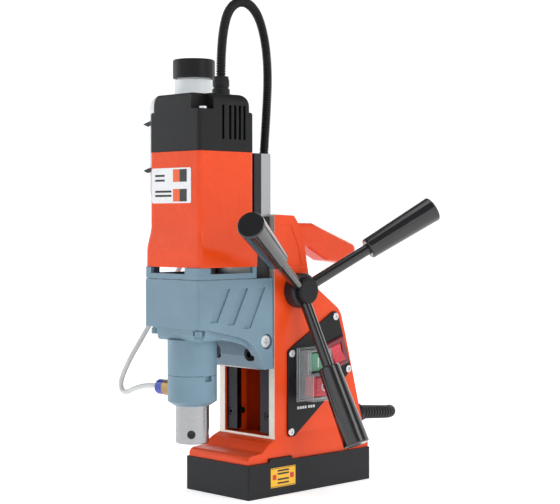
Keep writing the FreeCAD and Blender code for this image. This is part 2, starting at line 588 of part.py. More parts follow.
def make_relief():
    centre = Vector(RELIEF_X - RELIEF_BEND_R, RELIEF_BEND_START, RELIEF_Z)
    bend_end_turn = math.radians(45)
    straight = RELIEF_BEND_START - RELIEF_GLAND_END
    start = Vector(RELIEF_X, RELIEF_GLAND_END, RELIEF_Z)
    bend_start = Vector(RELIEF_X, RELIEF_BEND_START, RELIEF_Z)

    def on_bend(turn):
        return centre + Vector(RELIEF_BEND_R * math.cos(turn), RELIEF_BEND_R * math.sin(turn), 0)

    path = Part.Wire([Part.LineSegment(start, bend_start).toShape(),
                      Part.Arc(bend_start, on_bend(bend_end_turn / 2), on_bend(bend_end_turn)).toShape()])
    section = Part.Wire(Part.makeCircle(5.6, start, Vector(0, 1, 0)))
    core = path.makePipeShell([section], True, False)
    length = straight + RELIEF_BEND_R * bend_end_turn
    rings = []
    count = 14
    for index in range(count):
        distance = 1.0 + index * (length - 4.0) / (count - 1)
        rings.append(relief_ring(distance, 7.25 - 0.6 * index / (count - 1), 2.6))
    relief = droop(core.fuse(rings).removeSplitter())
    keep("strain_relief", relief)
    end = Rotation(Vector(1, 0, 0), -RELIEF_DROOP).multVec(on_bend(bend_end_turn) - start) + start
    print("strain relief ends at", [round(c, 2) for c in end])
    gland_start = (RELIEF_X, rear_y(RELIEF_Z) + 3.42, RELIEF_Z)
    gland = rod(9.5, gland_start, (RELIEF_X, RELIEF_GLAND_END - 2, RELIEF_Z))
    gland = gland.fuse(rod(8.2, (RELIEF_X, RELIEF_GLAND_END - 2, RELIEF_Z), (RELIEF_X, RELIEF_GLAND_END - 0.6, RELIEF_Z)))
    nut = rod(6.2, (GLAND_X, GLAND_Y, FRAME_TOP + 0.02), (GLAND_X, GLAND_Y, 278))
    nut = nut.fuse(rod(7.4, (GLAND_X, GLAND_Y, 276), (GLAND_X, GLAND_Y, 283)))
    keep("frame_glands", gland, nut)


def make_cord():
    keep("mains_cord", tube("mains_cord", CORD_ROUTE, CORD_R))
    coil = ring(COIL_R_OUT, COIL_R_IN, (COIL_X, COIL_Y, 0), (COIL_X, COIL_Y, COIL_HEIGHT))
    keep("cord_coil", coil)
    along = Vector(1, 0.35, 0).normalize()
    across = Vector(-along.y, along.x, 0)
    centre = Vector(COIL_X + 4, COIL_Y - 42, COIL_HEIGHT)

    def placed(x0, x1, y0, y1, z0, z1):
        shape = block(x0, x1, y0, y1, z0, z1)
        frame = FreeCAD.Placement(centre, Rotation(along, across, Vector(0, 0, 1), "XYZ"))
        shape.Placement = frame.multiply(shape.Placement)
        return shape

    body = fillet_where(placed(-24, 14, -11, 11, 0.05, 19), 4.0, lambda m, d: m.z > 18)
    keep("plug_body", body)
    pins = []
    for offset in (-6.5, 6.5):
        start = centre + along * 14 + across * offset + Vector(0, 0, 9.5)
        pins.append(Part.makeCylinder(2.4, 19, start, along))
    keep("plug_pins", *pins)


# ---- slide and rack

def make_slide():
    plate = block(-SLIDE_HALF_X, SLIDE_HALF_X, SLIDE_FRONT, SLIDE_BACK, SLIDE_LOW, SLIDE_HIGH)
    tongue = prism_z([(TONGUE_FRONT_X, SLIDE_BACK - 0.1), (TONGUE_BACK_X, TONGUE_BACK),
                      (-TONGUE_BACK_X, TONGUE_BACK), (-TONGUE_FRONT_X, SLIDE_BACK - 0.1)], SLIDE_LOW, SLIDE_HIGH)
    body = plate.fuse(tongue)
    body = body.cut(block(-RACK_HALF_X - 0.05, RACK_HALF_X + 0.05, RACK_FRONT - 0.05, 0, 0, 400))
    for side in (-1, 1):
        body = body.cut(rod(2.05, (side * 20, CHEEK_SCREW_Y, CHEEK_SCREW_Z), (side * 40, CHEEK_SCREW_Y, CHEEK_SCREW_Z)))
        body = body.cut(rod(4.2, (side * PLATE_SCREW_X, -60, PLATE_SCREW_Z), (side * PLATE_SCREW_X, -50, PLATE_SCREW_Z)))
    keep("slide_plate", body.removeSplitter())

    pitch = math.pi * RACK_MODULE
    pitch_y = FEED_Y - RACK_MODULE * PINION_TEETH / 2
    root_y = pitch_y - 1.2 * RACK_MODULE
    tip_y = pitch_y + 0.9 * RACK_MODULE
    slope = math.tan(PRESSURE_ANGLE)
    half = pitch / 4 * 0.94
    outline = [(RACK_FRONT, SLIDE_LOW)]
    outline.append((root_y, SLIDE_LOW))
    count = int((SLIDE_HIGH - SLIDE_LOW) / pitch) + 1
    first = math.ceil((SLIDE_LOW + 4 - FEED_Z) / pitch - 0.5) + 0.5
    for index in range(count):
        middle = FEED_Z + (first + index) * pitch
        if middle + half + 3 > SLIDE_HIGH:
            break
        root_half = half + (pitch_y - root_y) * slope
        tip_half = half - (tip_y - pitch_y) * slope
        outline += [(root_y, middle - root_half), (tip_y, middle - tip_half),
                    (tip_y, middle + tip_half), (root_y, middle + root_half)]
    outline += [(root_y, SLIDE_HIGH), (RACK_FRONT, SLIDE_HIGH)]
    keep("rack", prism_x(outline, -RACK_HALF_X, RACK_HALF_X))

    wing_in, wing_out = SLIDE_HALF_X + 0.1, SLIDE_HALF_X + 1.7
    pieces = [block(-30, 30, -70.2, -66.4, 264, SLIDE_HIGH)]
    for side in (-1, 1):
        x0, x1 = sorted((side * wing_in, side * wing_out))
        pieces.append(block(x0, x1, -66.9, -57.7, MOTOR_LOW + 0.2, SLIDE_HIGH))
        pieces.append(block(x0, x1, -66.9, -46.8, 210.8, 270))
    bracket = block(-wing_out, wing_out, -66.9, SLIDE_FRONT - 0.05, MOTOR_LOW + 0.2, SLIDE_HIGH)
    keep("head_bracket", bracket.fuse(pieces).removeSplitter())


# ---- gearbox

BAND_LOW = 210.5
CHEEK_SCREW_Y, CHEEK_SCREW_Z = -56.0, 149.5
CHEEK_SEAT_X = HEAD_HALF_X - 4.8
PLATE_SCREW_X, PLATE_SCREW_Z = 24.0, 136.8
PLATE_SEAT_Y = -62.0
CHIN_SCREW_X, CHIN_SCREW_Y, CHIN_SEAT_Z = 31.5, -136.5, 163.5
GROOVE_PLACES = ((-128.4, 171.0), (-105.5, 167.5), (-82.5, 163.5))
BLOCK_LOW = 165.0
CHIN_LOW = 152.5
REAR_LOW = 122.6


def arch_solid(x0, x1, shift):
    """The region under the arch that runs from the chin back to the slide."""
    points = [(-132 + shift, BLOCK_LOW - shift), (-100.8 + shift, 157.6 - shift), (-75 + shift, 146.6 - shift),
              (-65.8 + shift, 135.5 - shift), (-57.5 + shift, 120 - shift)]
    curve = Part.BSplineCurve()
    curve.interpolate([Vector(x0, y, z) for y, z in points])
    low = Vector(x0, -57.5 + shift, 90)
    front = Vector(x0, -160, 90)
    up = Vector(x0, -160, BLOCK_LOW - shift)
    edges = [curve.toShape(), Part.LineSegment(Vector(x0, *points[-1]), low).toShape(),
             Part.LineSegment(low, front).toShape(), Part.LineSegment(front, up).toShape(),
             Part.LineSegment(up, Vector(x0, *points[0])).toShape()]
    return Part.Face(Part.Wire(Part.__sortEdges__(edges))).extrude(Vector(x1 - x0, 0, 0))


def make_gearbox():
    body = rounded_block(-HEAD_HALF_X, HEAD_HALF_X, HEAD_FRONT, -46.6, 2.5, REAR_LOW, BAND_LOW)
    body = body.cut(arch_solid(-50, 50, 0.0))
    band = rounded_block(-39, 39, HEAD_FRONT + 0.2, -67.9, 2.5, BAND_LOW - 1, MOTOR_LOW)
    seam = block(-60, 60, -160, -60, BAND_LOW, BAND_LOW + 0.8)
    band = band.cut(seam.cut(rounded_block(-38.2, 38.2, HEAD_FRONT + 1.0, -68.7, 2.5, BAND_LOW - 1, BAND_LOW + 2)))
    chin = Part.makeLoft([rounded_wire(-33, 33, -136.8, -60, 7, CHIN_LOW),
                          rounded_wire(-36.8, 36.8, -140.6, -60, 7, BLOCK_LOW + 6)], True, True)
    chin = fillet_where(chin, 4.0, lambda m, d: abs(m.z - CHIN_LOW) < 0.1)
    ribs = rounded_block(-35, 35, -139, -60, 7, REAR_LOW, BLOCK_LOW + 6).cut(arch_solid(-50, 50, 6.5))
    under = block(-28.5, 28.5, -92, -65.5, REAR_LOW - 1, BLOCK_LOW)
    shell = body.fuse([band, chin.cut(block(-50, 50, -92, 0, 0, BLOCK_LOW)), ribs])
    shell = shell.cut(under)
    shell = shell.fuse(rod(NOSE_R, (0, SPINDLE_Y, NOSE_SEAM + 0.3), (0, SPINDLE_Y, CHIN_LOW + 1)))
    shell = shell.cut(block(-WALL_IN, WALL_IN, SLIDE_FRONT - 0.05, 0, 0, 400))
    shell = shell.cut(rounded_block(-35, 35, HEAD_FRONT + 4.5, -64, 4, 168, BAND_LOW + 20))
    shell = shell.cut(rod(17, (0, SPINDLE_Y, NOSE_LOW), (0, SPINDLE_Y, 170)))
    for x0, x1, y0, y1 in ((-30.5, 19, -150, -130), (33, 50, -128, -74.2), (-50, -33, -128, -74.2)):
        shell = shell.cut(block(x0, x1, y0, y1, 216.2, MOTOR_LOW + 0.5))
    for side in (-1, 1):
        for y_low, low_z in GROOVE_PLACES:
            shell = shell.cut(slanted_groove(side, y_low, low_z))
        x0, x1 = side * 20, side * 50
        shell = shell.cut(rod(2.05, (x0, CHEEK_SCREW_Y, CHEEK_SCREW_Z), (x1, CHEEK_SCREW_Y, CHEEK_SCREW_Z)))
        shell = shell.cut(rod(7.4, (side * CHEEK_SEAT_X, CHEEK_SCREW_Y, CHEEK_SCREW_Z),
                              (x1, CHEEK_SCREW_Y, CHEEK_SCREW_Z)))
        plate_x = side * PLATE_SCREW_X
        shell = shell.cut(rod(4.2, (plate_x, -66, PLATE_SCREW_Z), (plate_x, -59, PLATE_SCREW_Z)))
        shell = shell.cut(rod(7.2, (plate_x, -66, PLATE_SCREW_Z), (plate_x, PLATE_SEAT_Y, PLATE_SCREW_Z)))
        shell = shell.cut(rod(7, (side * 33.5, -138.5, 140), (side * 33.5, -138.5, CHIN_SEAT_Z)))
        shell = shell.cut(rod(2.05, (side * CHIN_SCREW_X, CHIN_SCREW_Y, 150), (side * CHIN_SCREW_X, CHIN_SCREW_Y, 169)))
    shell = shell.cut(rod(9, (COUNTER_X, COUNTER_Y, 162), (COUNTER_X, COUNTER_Y, 170)))
    keep("gearbox_housing", shell.removeSplitter())


def slanted_groove(side, y_low, low_z):
    """A shallow slanted groove in the gearbox's side wall, which would start from y_low at z 172."""
    width, depth, high_z = 9.5, 1.8, 202.0

    def edge_y(z):
        return y_low + (z - 172.0) * 15.5 / 30.0

    points = [(edge_y(low_z), low_z), (edge_y(low_z) + width, low_z), (edge_y(high_z) + width, high_z),
              (edge_y(high_z), high_z)]
    x0, x1 = sorted((side * (HEAD_HALF_X - depth), side * (HEAD_HALF_X + 1)))
    return prism_x(points, x0, x1)


def make_nose():
    collar = rod(NOSE_R, (0, SPINDLE_Y, NOSE_LOW + 4), (0, SPINDLE_Y, NOSE_SEAM))
    collar = collar.fuse(cone(17.6, NOSE_R, (0, SPINDLE_Y, NOSE_LOW), (0, SPINDLE_Y, NOSE_LOW + 4)))
    collar = collar.cut(rod(16.6, (0, SPINDLE_Y, 80), (0, SPINDLE_Y, 130)))
    collar = collar.cut(block(20, 30, SPINDLE_Y - 4, SPINDLE_Y + 4, NOSE_SEAM - 5, NOSE_SEAM + 1))
    collar = collar.cut(rod(3, (-30, SPINDLE_Y, FITTING_Z), (-10, SPINDLE_Y, FITTING_Z)))
    keep("nose_collar", collar.removeSplitter())

    def along_x(x):
        return (x, SPINDLE_Y, FITTING_Z)

    stem = rod(3 - SCREW_GAP, along_x(-17), along_x(-25))
    brass = stem.fuse([rod(7.6, along_x(-24.2), along_x(-37.8)), rod(5, along_x(-37.8), along_x(-41.3))])
    brass = brass.cut(rod(1.4, along_x(-16), along_x(-60)))
    keep("hose_fitting", brass.removeSplitter())
    blue = rod(7.4, along_x(-37.9), along_x(-47.5)).fuse(rod(4.6, along_x(-47.5), along_x(-50.9)))
    blue = blue.cut(rod(5.05, along_x(-37), along_x(-41.4)))
    keep("fitting_ring", blue.cut(rod(1.4, along_x(-40), along_x(-58))).removeSplitter())


def make_head_screws():
    screws = []
    for side in (-1, 1):
        screws.append(socket_screw(6.0, 3.2, 2.0, 12, (side * (CHEEK_SEAT_X + 3.2), CHEEK_SCREW_Y, CHEEK_SCREW_Z),
                                   (-side, 0, 0), 2.8))
        screws.append(socket_screw(6.6, 3.4, 4.15, 11.8, (side * PLATE_SCREW_X, PLATE_SEAT_Y - 3.4, PLATE_SCREW_Z),
                                   (0, 1, 0), 3.2))
        screws.append(socket_screw(3.6, 5.5, 2.0, 4.4, (side * CHIN_SCREW_X, CHIN_SCREW_Y, CHIN_SEAT_Z - 5.55),
                                   (0, 0, 1), 1.8))
    for x, y in CAP_SCREWS:
        screws.append(socket_screw(4.1, 2.2, 2.0, 6, (x, y, CAP_STEP + 2.22), (0, 0, -1), 2.2))
    keep("head_screws", *screws)


# ---- motor

def motor_section(spread, radius, z, inset=0.0):
    """One cross section of the motor body: spread 0 is the upper size, 1 the flared foot."""
    half_x = MOTOR_HALF_X + 3.5 * spread - inset
    front = MOTOR_FRONT - 2.5 * spread + inset
    back = MOTOR_BACK + 3.3 * spread - inset
    return rounded_wire(-half_x, half_x, front, back, radius, z)


def motor_shell(inset):
    radius = 4.0 - inset * 0.9
    foot = Part.makeLoft([motor_section(1, radius, MOTOR_LOW, inset), motor_section(1, radius, 236, inset)], True, True)
    flare_wires = []
    for step in range(5):
        blend = step / 4
        smooth = blend * blend * (3 - 2 * blend)
        flare_wires.append(motor_section(1 - smooth, radius, 236 + 26 * blend, inset))
    flare = Part.makeLoft(flare_wires, True, False)
    upper = Part.makeLoft([motor_section(0, radius, 262, inset), motor_section(0, radius, CAP_LOW, inset)], True, True)
    return foot.fuse([flare, upper])


CAP_STEP = 370.0
CAP_SCREWS = [(30.6, -130.2), (-28.5, -80.5)]
CROWN_LEFT, CROWN_BACK, CROWN_ROUND_Z = -32.2, -74.6, 375.0


def make_motor():
    shell = motor_shell(0.0).cut(motor_shell(2.5))
    shell = shell.cut(block(-60, 60, -150, -60, CAP_LOW - 0.2, 400))
    shell = shell.cut(block(-60, 60, -150, -60, 200, MOTOR_LOW + 0.1))
    keep("motor_housing", shell.removeSplitter())

    lower = rounded_block(-CAP_HALF_X, CAP_HALF_X, CAP_FRONT, CAP_BACK, 4, CAP_LOW, 369)
    lower = fillet_where(lower, 2.4, lambda m, d: abs(m.z - 369) < 0.1)
    straight = rounded_block(CROWN_LEFT, CAP_HALF_X, CAP_FRONT, CROWN_BACK, 4, 366, CROWN_ROUND_Z)
    round_wires = []
    for step in range(5):
        turn = math.radians(90 * step / 4)
        share = 1 - math.cos(turn)
        round_wires.append(rounded_wire(CROWN_LEFT + 5 * share, CAP_HALF_X - 4 * share, CAP_FRONT + 2.5 * share,
                                        CROWN_BACK - 10 * share, 4,
                                        CROWN_ROUND_Z + (CAP_HIGH - CROWN_ROUND_Z) * math.sin(turn)))
    cap = lower.fuse([straight, Part.makeLoft(round_wires, True, False)])
    cap = cap.cut(block(24.3, 60, -150, -121.9, CAP_STEP, 400)).cut(block(-60, -21.5, -89, -50, CAP_STEP, 400))
    crown_space = rounded_block(-29.4, 33.6, -136.2, -80, 3, 364, 377)
    crown_space = crown_space.cut(block(21.7, 60, -150, -119.3, 360, 380)).cut(block(-60, -18.9, -91.6, -50, 360, 380))
    cap = cap.cut(rounded_block(-33.9, 33.9, -136.4, -73, 3, 320, 365).fuse(crown_space))
    cap = cap.fuse(rod(11, (0, MOTOR_Y, 360), (0, MOTOR_Y, 381)))
    cap = cap.cut(rod(8.02, (0, MOTOR_Y, 350), (0, MOTOR_Y, 375)))
    cap = cap.fuse(rod(9.2, (8, -87, 377), (8, -87, CAP_HIGH)))
    for y in (-110, -101.2, -94.9, -88.9, -83):
        for x0, x1 in ((30, 50), (-50, -28)):
            cap = cap.cut(block(x0, x1, y - 1.5, y + 1.5, 342.5, 374.7))
    for x, y in CAP_SCREWS:
        cap = cap.cut(rod(2.05, (x, y, 360), (x, y, 372)))
    cap = cap.cut(rod(4, (8, -87, 370), (8, -87, 390)))
    keep("motor_cap", largest(cap.removeSplitter()))

    gland = rod(8.6, (8, -87, CAP_HIGH + 0.02), (8, -87, 392)).fuse(rod(7.4, (8, -87, 392), (8, -87, 404)))
    keep("cap_gland", gland.fuse(rod(8.1, (8, -87, 394.5), (8, -87, 401))).removeSplitter())

    stack = rounded_block(-33.7, 33.7, MOTOR_Y - 31.2, MOTOR_Y + 31.8, 8, 264, 310)
    stack = stack.cut(rod(23, (0, MOTOR_Y, 260), (0, MOTOR_Y, 320)))
    keep("stator", stack)


def largest(shape):
    """The largest solid of a shape."""
    return max(shape.Solids, key=lambda solid: solid.Volume)


def make_rotor():
    to_counter = math.atan2(COUNTER_Y - MOTOR_Y, COUNTER_X)
    shaft = rod(5, (0, MOTOR_Y, 214), (0, MOTOR_Y, 374)).fuse(
        gear_z(MOTOR_PINION_TEETH, FIRST_MODULE, (0, MOTOR_Y), to_counter, 195, 207))
    shaft = shaft.fuse(rod(3.4, (0, MOTOR_Y, 206), (0, MOTOR_Y, 215)))
    keep("armature_shaft", shaft.removeSplitter())
    core = ring(22, 5.0, (0, MOTOR_Y, 264), (0, MOTOR_Y, 310))
    for index in range(12):
        turn = 2 * math.pi * index / 12
        slot = rod(1.8, (19.4 * math.cos(turn), MOTOR_Y + 19.4 * math.sin(turn), 262),
                   (19.4 * math.cos(turn), MOTOR_Y + 19.4 * math.sin(turn), 312))
        core = core.cut(slot)
    commutator = ring(12, 5.0, (0, MOTOR_Y, 322), (0, MOTOR_Y, 340))
    keep("rotor_core", core, commutator)
    disc = ring(24, 5.0, (0, MOTOR_Y, 236), (0, MOTOR_Y, 238.5)).fuse(ring(9, 5.0, (0, MOTOR_Y, 236), (0, MOTOR_Y, 247)))
    blades = []
    for index in range(9):
        blade = block(8, 24, -0.9, 0.9, 238, 246)
        blade.rotate(Vector(0, 0, 0), Vector(0, 0, 1), 40 * index)
        blade.translate(Vector(0, MOTOR_Y, 0))
        blades.append(blade)
    keep("cooling_fan", disc.fuse(blades).removeSplitter())


def make_gear_train():
    from_motor = math.atan2(MOTOR_Y - COUNTER_Y, -COUNTER_X)
    from_spindle = math.atan2(SPINDLE_Y - COUNTER_Y, -COUNTER_X)
    centre = (COUNTER_X, COUNTER_Y)
    wheel = gear_z(COUNTER_GEAR_TEETH, FIRST_MODULE, centre, from_motor + math.pi / COUNTER_GEAR_TEETH, 196, 206)
    pinion = gear_z(COUNTER_PINION_TEETH, SECOND_MODULE, centre, from_spindle, 174, 188)
    shaft = rod(4.5, (COUNTER_X, COUNTER_Y, 163), (COUNTER_X, COUNTER_Y, 215))
    keep("countershaft", wheel.fuse([pinion, shaft]).removeSplitter())

    turn = from_spindle + math.pi + math.pi / SPINDLE_GEAR_TEETH
    gear = gear_z(SPINDLE_GEAR_TEETH, SECOND_MODULE, (0, SPINDLE_Y), turn, 175, 187)
    gear = gear.cut(rod(SPINDLE_R, (0, SPINDLE_Y, 170), (0, SPINDLE_Y, 190)))
    keep("spindle_gear", gear)


ARBOR_SCREW_ANGLES = (-44.45, 45.55)
ARBOR_SCREW_Z = 64.0


def make_spindle():
    axis_low, axis_high = (0, SPINDLE_Y, ARBOR_LOW), (0, SPINDLE_Y, ARBOR_TOP + 1.5)
    body = rod(ARBOR_R, axis_low, axis_high)
    body = body.makeChamfer(0.8, [e for e in body.Edges if abs(e.CenterOfMass.z - ARBOR_LOW) < 0.1
                                  and len(e.Vertexes) == 1])
    body = body.fuse(rod(SPINDLE_R, (0, SPINDLE_Y, ARBOR_TOP), (0, SPINDLE_Y, 192)))
    body = body.cut(rod(SHANK_BORE_R, (0, SPINDLE_Y, ARBOR_LOW - 1), (0, SPINDLE_Y, ARBOR_LOW + SHANK_DEPTH)))
    screws = []
    for angle in ARBOR_SCREW_ANGLES:
        out = Vector(math.cos(math.radians(angle)), math.sin(math.radians(angle)), 0)
        at = Vector(0, SPINDLE_Y, ARBOR_SCREW_Z)
        body = body.cut(Part.makeCylinder(4, 12, at + out * 6, out))
        screw = Part.makeCylinder(4 - SCREW_GAP, 4.6, at + out * 10.2, out)
        screws.append(screw.cut(Part.makeCylinder(2.3, 3, at + out * 12.2, out)))
    keep("arbor", body.removeSplitter())
    keep("arbor_screws", *screws)


def make_bearings():
    def bearing(centre, outer, shaft, low, high):
        return ring(outer, shaft + 0.04, (*centre, low), (*centre, high))

    rings = [bearing((0, SPINDLE_Y), 17, SPINDLE_R, 122, 134), bearing((0, SPINDLE_Y), 17, SPINDLE_R, 152, 164),
             bearing((COUNTER_X, COUNTER_Y), 9, 4.5, 163, 168)]
    plate = rounded_block(-34.8, 34.8, HEAD_FRONT + 4.7, -74, 4, 208, 212).cut(rod(13, (0, MOTOR_Y, 200), (0, MOTOR_Y, 220)))
    plate = plate.cut(rod(4.54, (COUNTER_X, COUNTER_Y, 200), (COUNTER_X, COUNTER_Y, 220)))
    keep("bearings", *rings, bearing((0, MOTOR_Y), 8, 5, 366, 374.5).cut(block(-60, 60, -150, -60, 375, 380)),
         ring(13, 5.04, (0, MOTOR_Y, 214.5), (0, MOTOR_Y, 222)))
    keep("gear_plate", plate)


# ---- coolant bottle and hose

def make_bottle():
    x0, x1 = BOTTLE_X - BOTTLE_HALF_X, BOTTLE_X + BOTTLE_HALF_X
    y0, y1 = BOTTLE_Y - BOTTLE_HALF_Y, BOTTLE_Y + BOTTLE_HALF_Y

    def shell(inset, low, high):
        solid = rounded_block(x0 + inset, x1 - inset, y0 + inset, y1 - inset, 14 - inset, low, high)
        solid = fillet_where(solid, 13 - inset, lambda m, d: abs(m.z - high) < 0.1)
        return fillet_where(solid, 13 - inset, lambda m, d: abs(m.z - low) < 0.1)

    def upright(radius, low, high):
        return rod(radius, (BOTTLE_X, BOTTLE_Y, low), (BOTTLE_X, BOTTLE_Y, high))

    outer = shell(0, BOTTLE_LOW, BOTTLE_HIGH)
    outer = outer.fuse([upright(19.6, BOTTLE_HIGH - 3, BOTTLE_CAP_LOW - 2),
                        upright(17, BOTTLE_HIGH, BOTTLE_CAP_HIGH - 4), upright(4.5, NIPPLE_LOW, BOTTLE_LOW + 2)])
    inner = shell(1.8, BOTTLE_LOW + 1.8, BOTTLE_HIGH - 1.8)
    inner = inner.fuse(upright(15, BOTTLE_HIGH - 5, BOTTLE_CAP_HIGH))
    keep("coolant_bottle", outer.cut(inner).removeSplitter())

    centre_low = (BOTTLE_X, BOTTLE_Y, BOTTLE_CAP_LOW)
    cap = rod(21.5, centre_low, (BOTTLE_X, BOTTLE_Y, BOTTLE_CAP_HIGH))
    cap = fillet_where(cap, 2.0, lambda m, d: m.z > BOTTLE_CAP_HIGH - 0.1)
    cap = cap.cut(rod(17.3, (BOTTLE_X, BOTTLE_Y, BOTTLE_CAP_LOW - 1), (BOTTLE_X, BOTTLE_Y, BOTTLE_CAP_HIGH - 3)))
    keep("bottle_cap", cap)
    keep("coolant_hose", tube("coolant_hose", HOSE_ROUTE, HOSE_R))


def make_bottle_bracket():
    x_plate = BOTTLE_X + BOTTLE_HALF_X
    gap, thick = 0.3, 2.3
    y0, y1 = BOTTLE_Y - BOTTLE_HALF_Y - gap, BOTTLE_Y + BOTTLE_HALF_Y + gap
    bracket = block(x_plate + 0.1, x_plate + 0.1 + thick, -122, -76, 312, 367)
    for top in CLIP_TOPS:
        bracket = bracket.fuse(block(x_plate + 0.1, x_plate + 0.1 + thick, y0 - thick, y1 + thick, top - 8, top))
        arm = [(x_plate + 2.4, top), (-84, top), (-91, top - 1.2), (-98.5, top - 3.2), (-91.5, top - 5.7),
               (-85, top - 2), (-66, top - 3), (x_plate + 2.4, top - 8)]
        for low_y in (y0 - thick, y1):
            bracket = bracket.fuse(prism_y(arm, low_y, low_y + thick))
    for z, end_x in ((322, MOTOR_HALF_X), (350, CAP_HALF_X)):
        bracket = bracket.fuse(rod(6, (x_plate + 2.0, -105, z), (-end_x - 0.02, -105, z)))
    keep("bottle_bracket", bracket.removeSplitter())


# ---- feed handle

def along_arm(angle, share):
    """A point on an arm's axis, from 0 at the hub to 1 at the grip's far end."""
    reach = ARM_END_RADIUS * share
    turn = math.radians(angle)
    return (ARM_ROOT_X + (ARM_END_X - ARM_ROOT_X) * share, FEED_Y + reach * math.cos(turn),
            FEED_Z + reach * math.sin(turn))


def make_feed():
    def at(x):
        return (x, FEED_Y, FEED_Z)

    outline = gear_points(PINION_TEETH, RACK_MODULE, math.pi)
    pinion = prism([(-9, FEED_Y + x, FEED_Z + y) for x, y in outline], (18, 0, 0))
    shaft = rod(SHAFT_R, at(-42), at(50)).fuse(pinion)
    shaft = shaft.fuse(rod(11.5, at(-43.2), at(-39.9)))
    keep("pinion_shaft", shaft.removeSplitter())

    hub = fillet_where(rod(17.2, at(39.9), at(52)), 3.0, lambda m, d: abs(m.x - 52) < 0.01)
    hub = hub.cut(rod(SHAFT_R, at(30), at(50)))
    for angle in ARM_ANGLES:
        hub = hub.cut(rod(ROD_R, along_arm(angle, 0.058), along_arm(angle, 0.3)))
    keep("feed_hub", hub)
    knob = fillet_where(rod(13.2, at(52.05), at(58)), 2.5, lambda m, d: abs(m.x - 58) < 0.01)
    for angle in ARM_ANGLES:
        knob = knob.cut(rod(ROD_R + 0.15, along_arm(angle, 0.02), along_arm(angle, 0.3)))
    keep("hub_knob", knob)
    rods, grips = [], []
    for angle in ARM_ANGLES:
        rods.append(rod(ROD_R - 0.01, along_arm(angle, 0.06), along_arm(angle, 0.93)))
        grip = cone(GRIP_ROOT_R, GRIP_END_R, along_arm(angle, GRIP_START), along_arm(angle, 1.0))
        grip = grip.makeFillet(1.6, [e for e in grip.Edges if len(e.Vertexes) == 1])
        grips.append(grip.cut(rod(ROD_R, along_arm(angle, 0.4), along_arm(angle, 0.932))))
    keep("arm_rods", *rods)
    keep("arm_grips", *grips)


def main():
    make_magnet()
    make_frame()
    make_frame_trim()
    make_handle()
    make_rails()
    make_panel()
    make_switch()
    make_rocker()
    make_electronics()
    make_labels()
    make_relief()
    make_cord()
    make_slide()
    make_gearbox()
    make_nose()
    make_head_screws()
    make_motor()
    make_rotor()
    make_gear_train()
    make_spindle()
    make_bearings()
    make_bottle()
    make_bottle_bracket()
    make_feed()
    keep("conduit", tube("conduit", CONDUIT_ROUTE, CONDUIT_R))
    for name, shape in PARTS.items():
        solids = len(shape.Solids)
        if not shape.isValid() or solids == 0:
            print("CHECK", name, shape.isValid(), solids)
        shape.exportStep("parts/" + name + ".step")
    print(len(PARTS), "nodes")


main()
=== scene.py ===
"""Looks of a magnetic drill press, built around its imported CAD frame. All lengths are in metres."""
import json
import math

import bmesh
import bpy
from mathutils import Matrix, Vector


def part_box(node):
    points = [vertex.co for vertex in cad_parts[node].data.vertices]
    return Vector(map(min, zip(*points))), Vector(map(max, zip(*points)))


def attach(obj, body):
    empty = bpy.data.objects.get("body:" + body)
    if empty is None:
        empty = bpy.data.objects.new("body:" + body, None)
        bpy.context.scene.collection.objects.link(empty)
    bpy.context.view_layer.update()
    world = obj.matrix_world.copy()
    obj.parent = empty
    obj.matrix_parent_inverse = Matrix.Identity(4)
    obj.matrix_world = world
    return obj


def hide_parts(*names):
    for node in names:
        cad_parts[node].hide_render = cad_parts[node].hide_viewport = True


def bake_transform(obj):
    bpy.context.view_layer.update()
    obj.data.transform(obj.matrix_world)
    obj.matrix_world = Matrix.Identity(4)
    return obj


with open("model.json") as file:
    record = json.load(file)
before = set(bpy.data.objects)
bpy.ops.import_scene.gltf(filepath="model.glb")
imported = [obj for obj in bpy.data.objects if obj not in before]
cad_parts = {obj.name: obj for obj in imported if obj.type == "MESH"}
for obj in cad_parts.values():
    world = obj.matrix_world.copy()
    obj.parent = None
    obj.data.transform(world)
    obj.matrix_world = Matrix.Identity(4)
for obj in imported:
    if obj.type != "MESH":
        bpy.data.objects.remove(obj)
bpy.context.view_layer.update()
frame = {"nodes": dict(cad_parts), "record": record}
MM = 0.001
NODES = frame["nodes"]


def srgb(red, green, blue):
    """A display colour, 0 to 255, as the linear colour that shaders use."""
    def linear(channel):
        share = channel / 255
        return share / 12.92 if share <= 0.04045 else ((share + 0.055) / 1.055) ** 2.4
    return (linear(red), linear(green), linear(blue), 1.0)


def scaled(colour, factor):
    """The same colour, lighter or darker."""
    return tuple(min(1.0, c * factor) for c in colour[:3]) + (1.0,)


# ---- camera, stage and light

CAMERA_AT = Vector((1.0316, -1.0118, 0.2666))
CAMERA_AZIMUTH = math.radians(45.55)
CAMERA_PITCH = math.radians(1.28)
SENSOR_WIDTH, LENS = 36.0, 92.1
OBJECT_MIDDLE = Vector((0.0, -0.02, 0.22))


def make_camera():
    data = bpy.data.cameras.new("camera")
    data.sensor_width = SENSOR_WIDTH
    data.lens = LENS
    camera = bpy.data.objects.new("camera", data)
    camera.location = CAMERA_AT
    camera.rotation_euler = (math.radians(90) - CAMERA_PITCH, 0, CAMERA_AZIMUTH)
    bpy.context.collection.objects.link(camera)
    bpy.context.scene.camera = camera


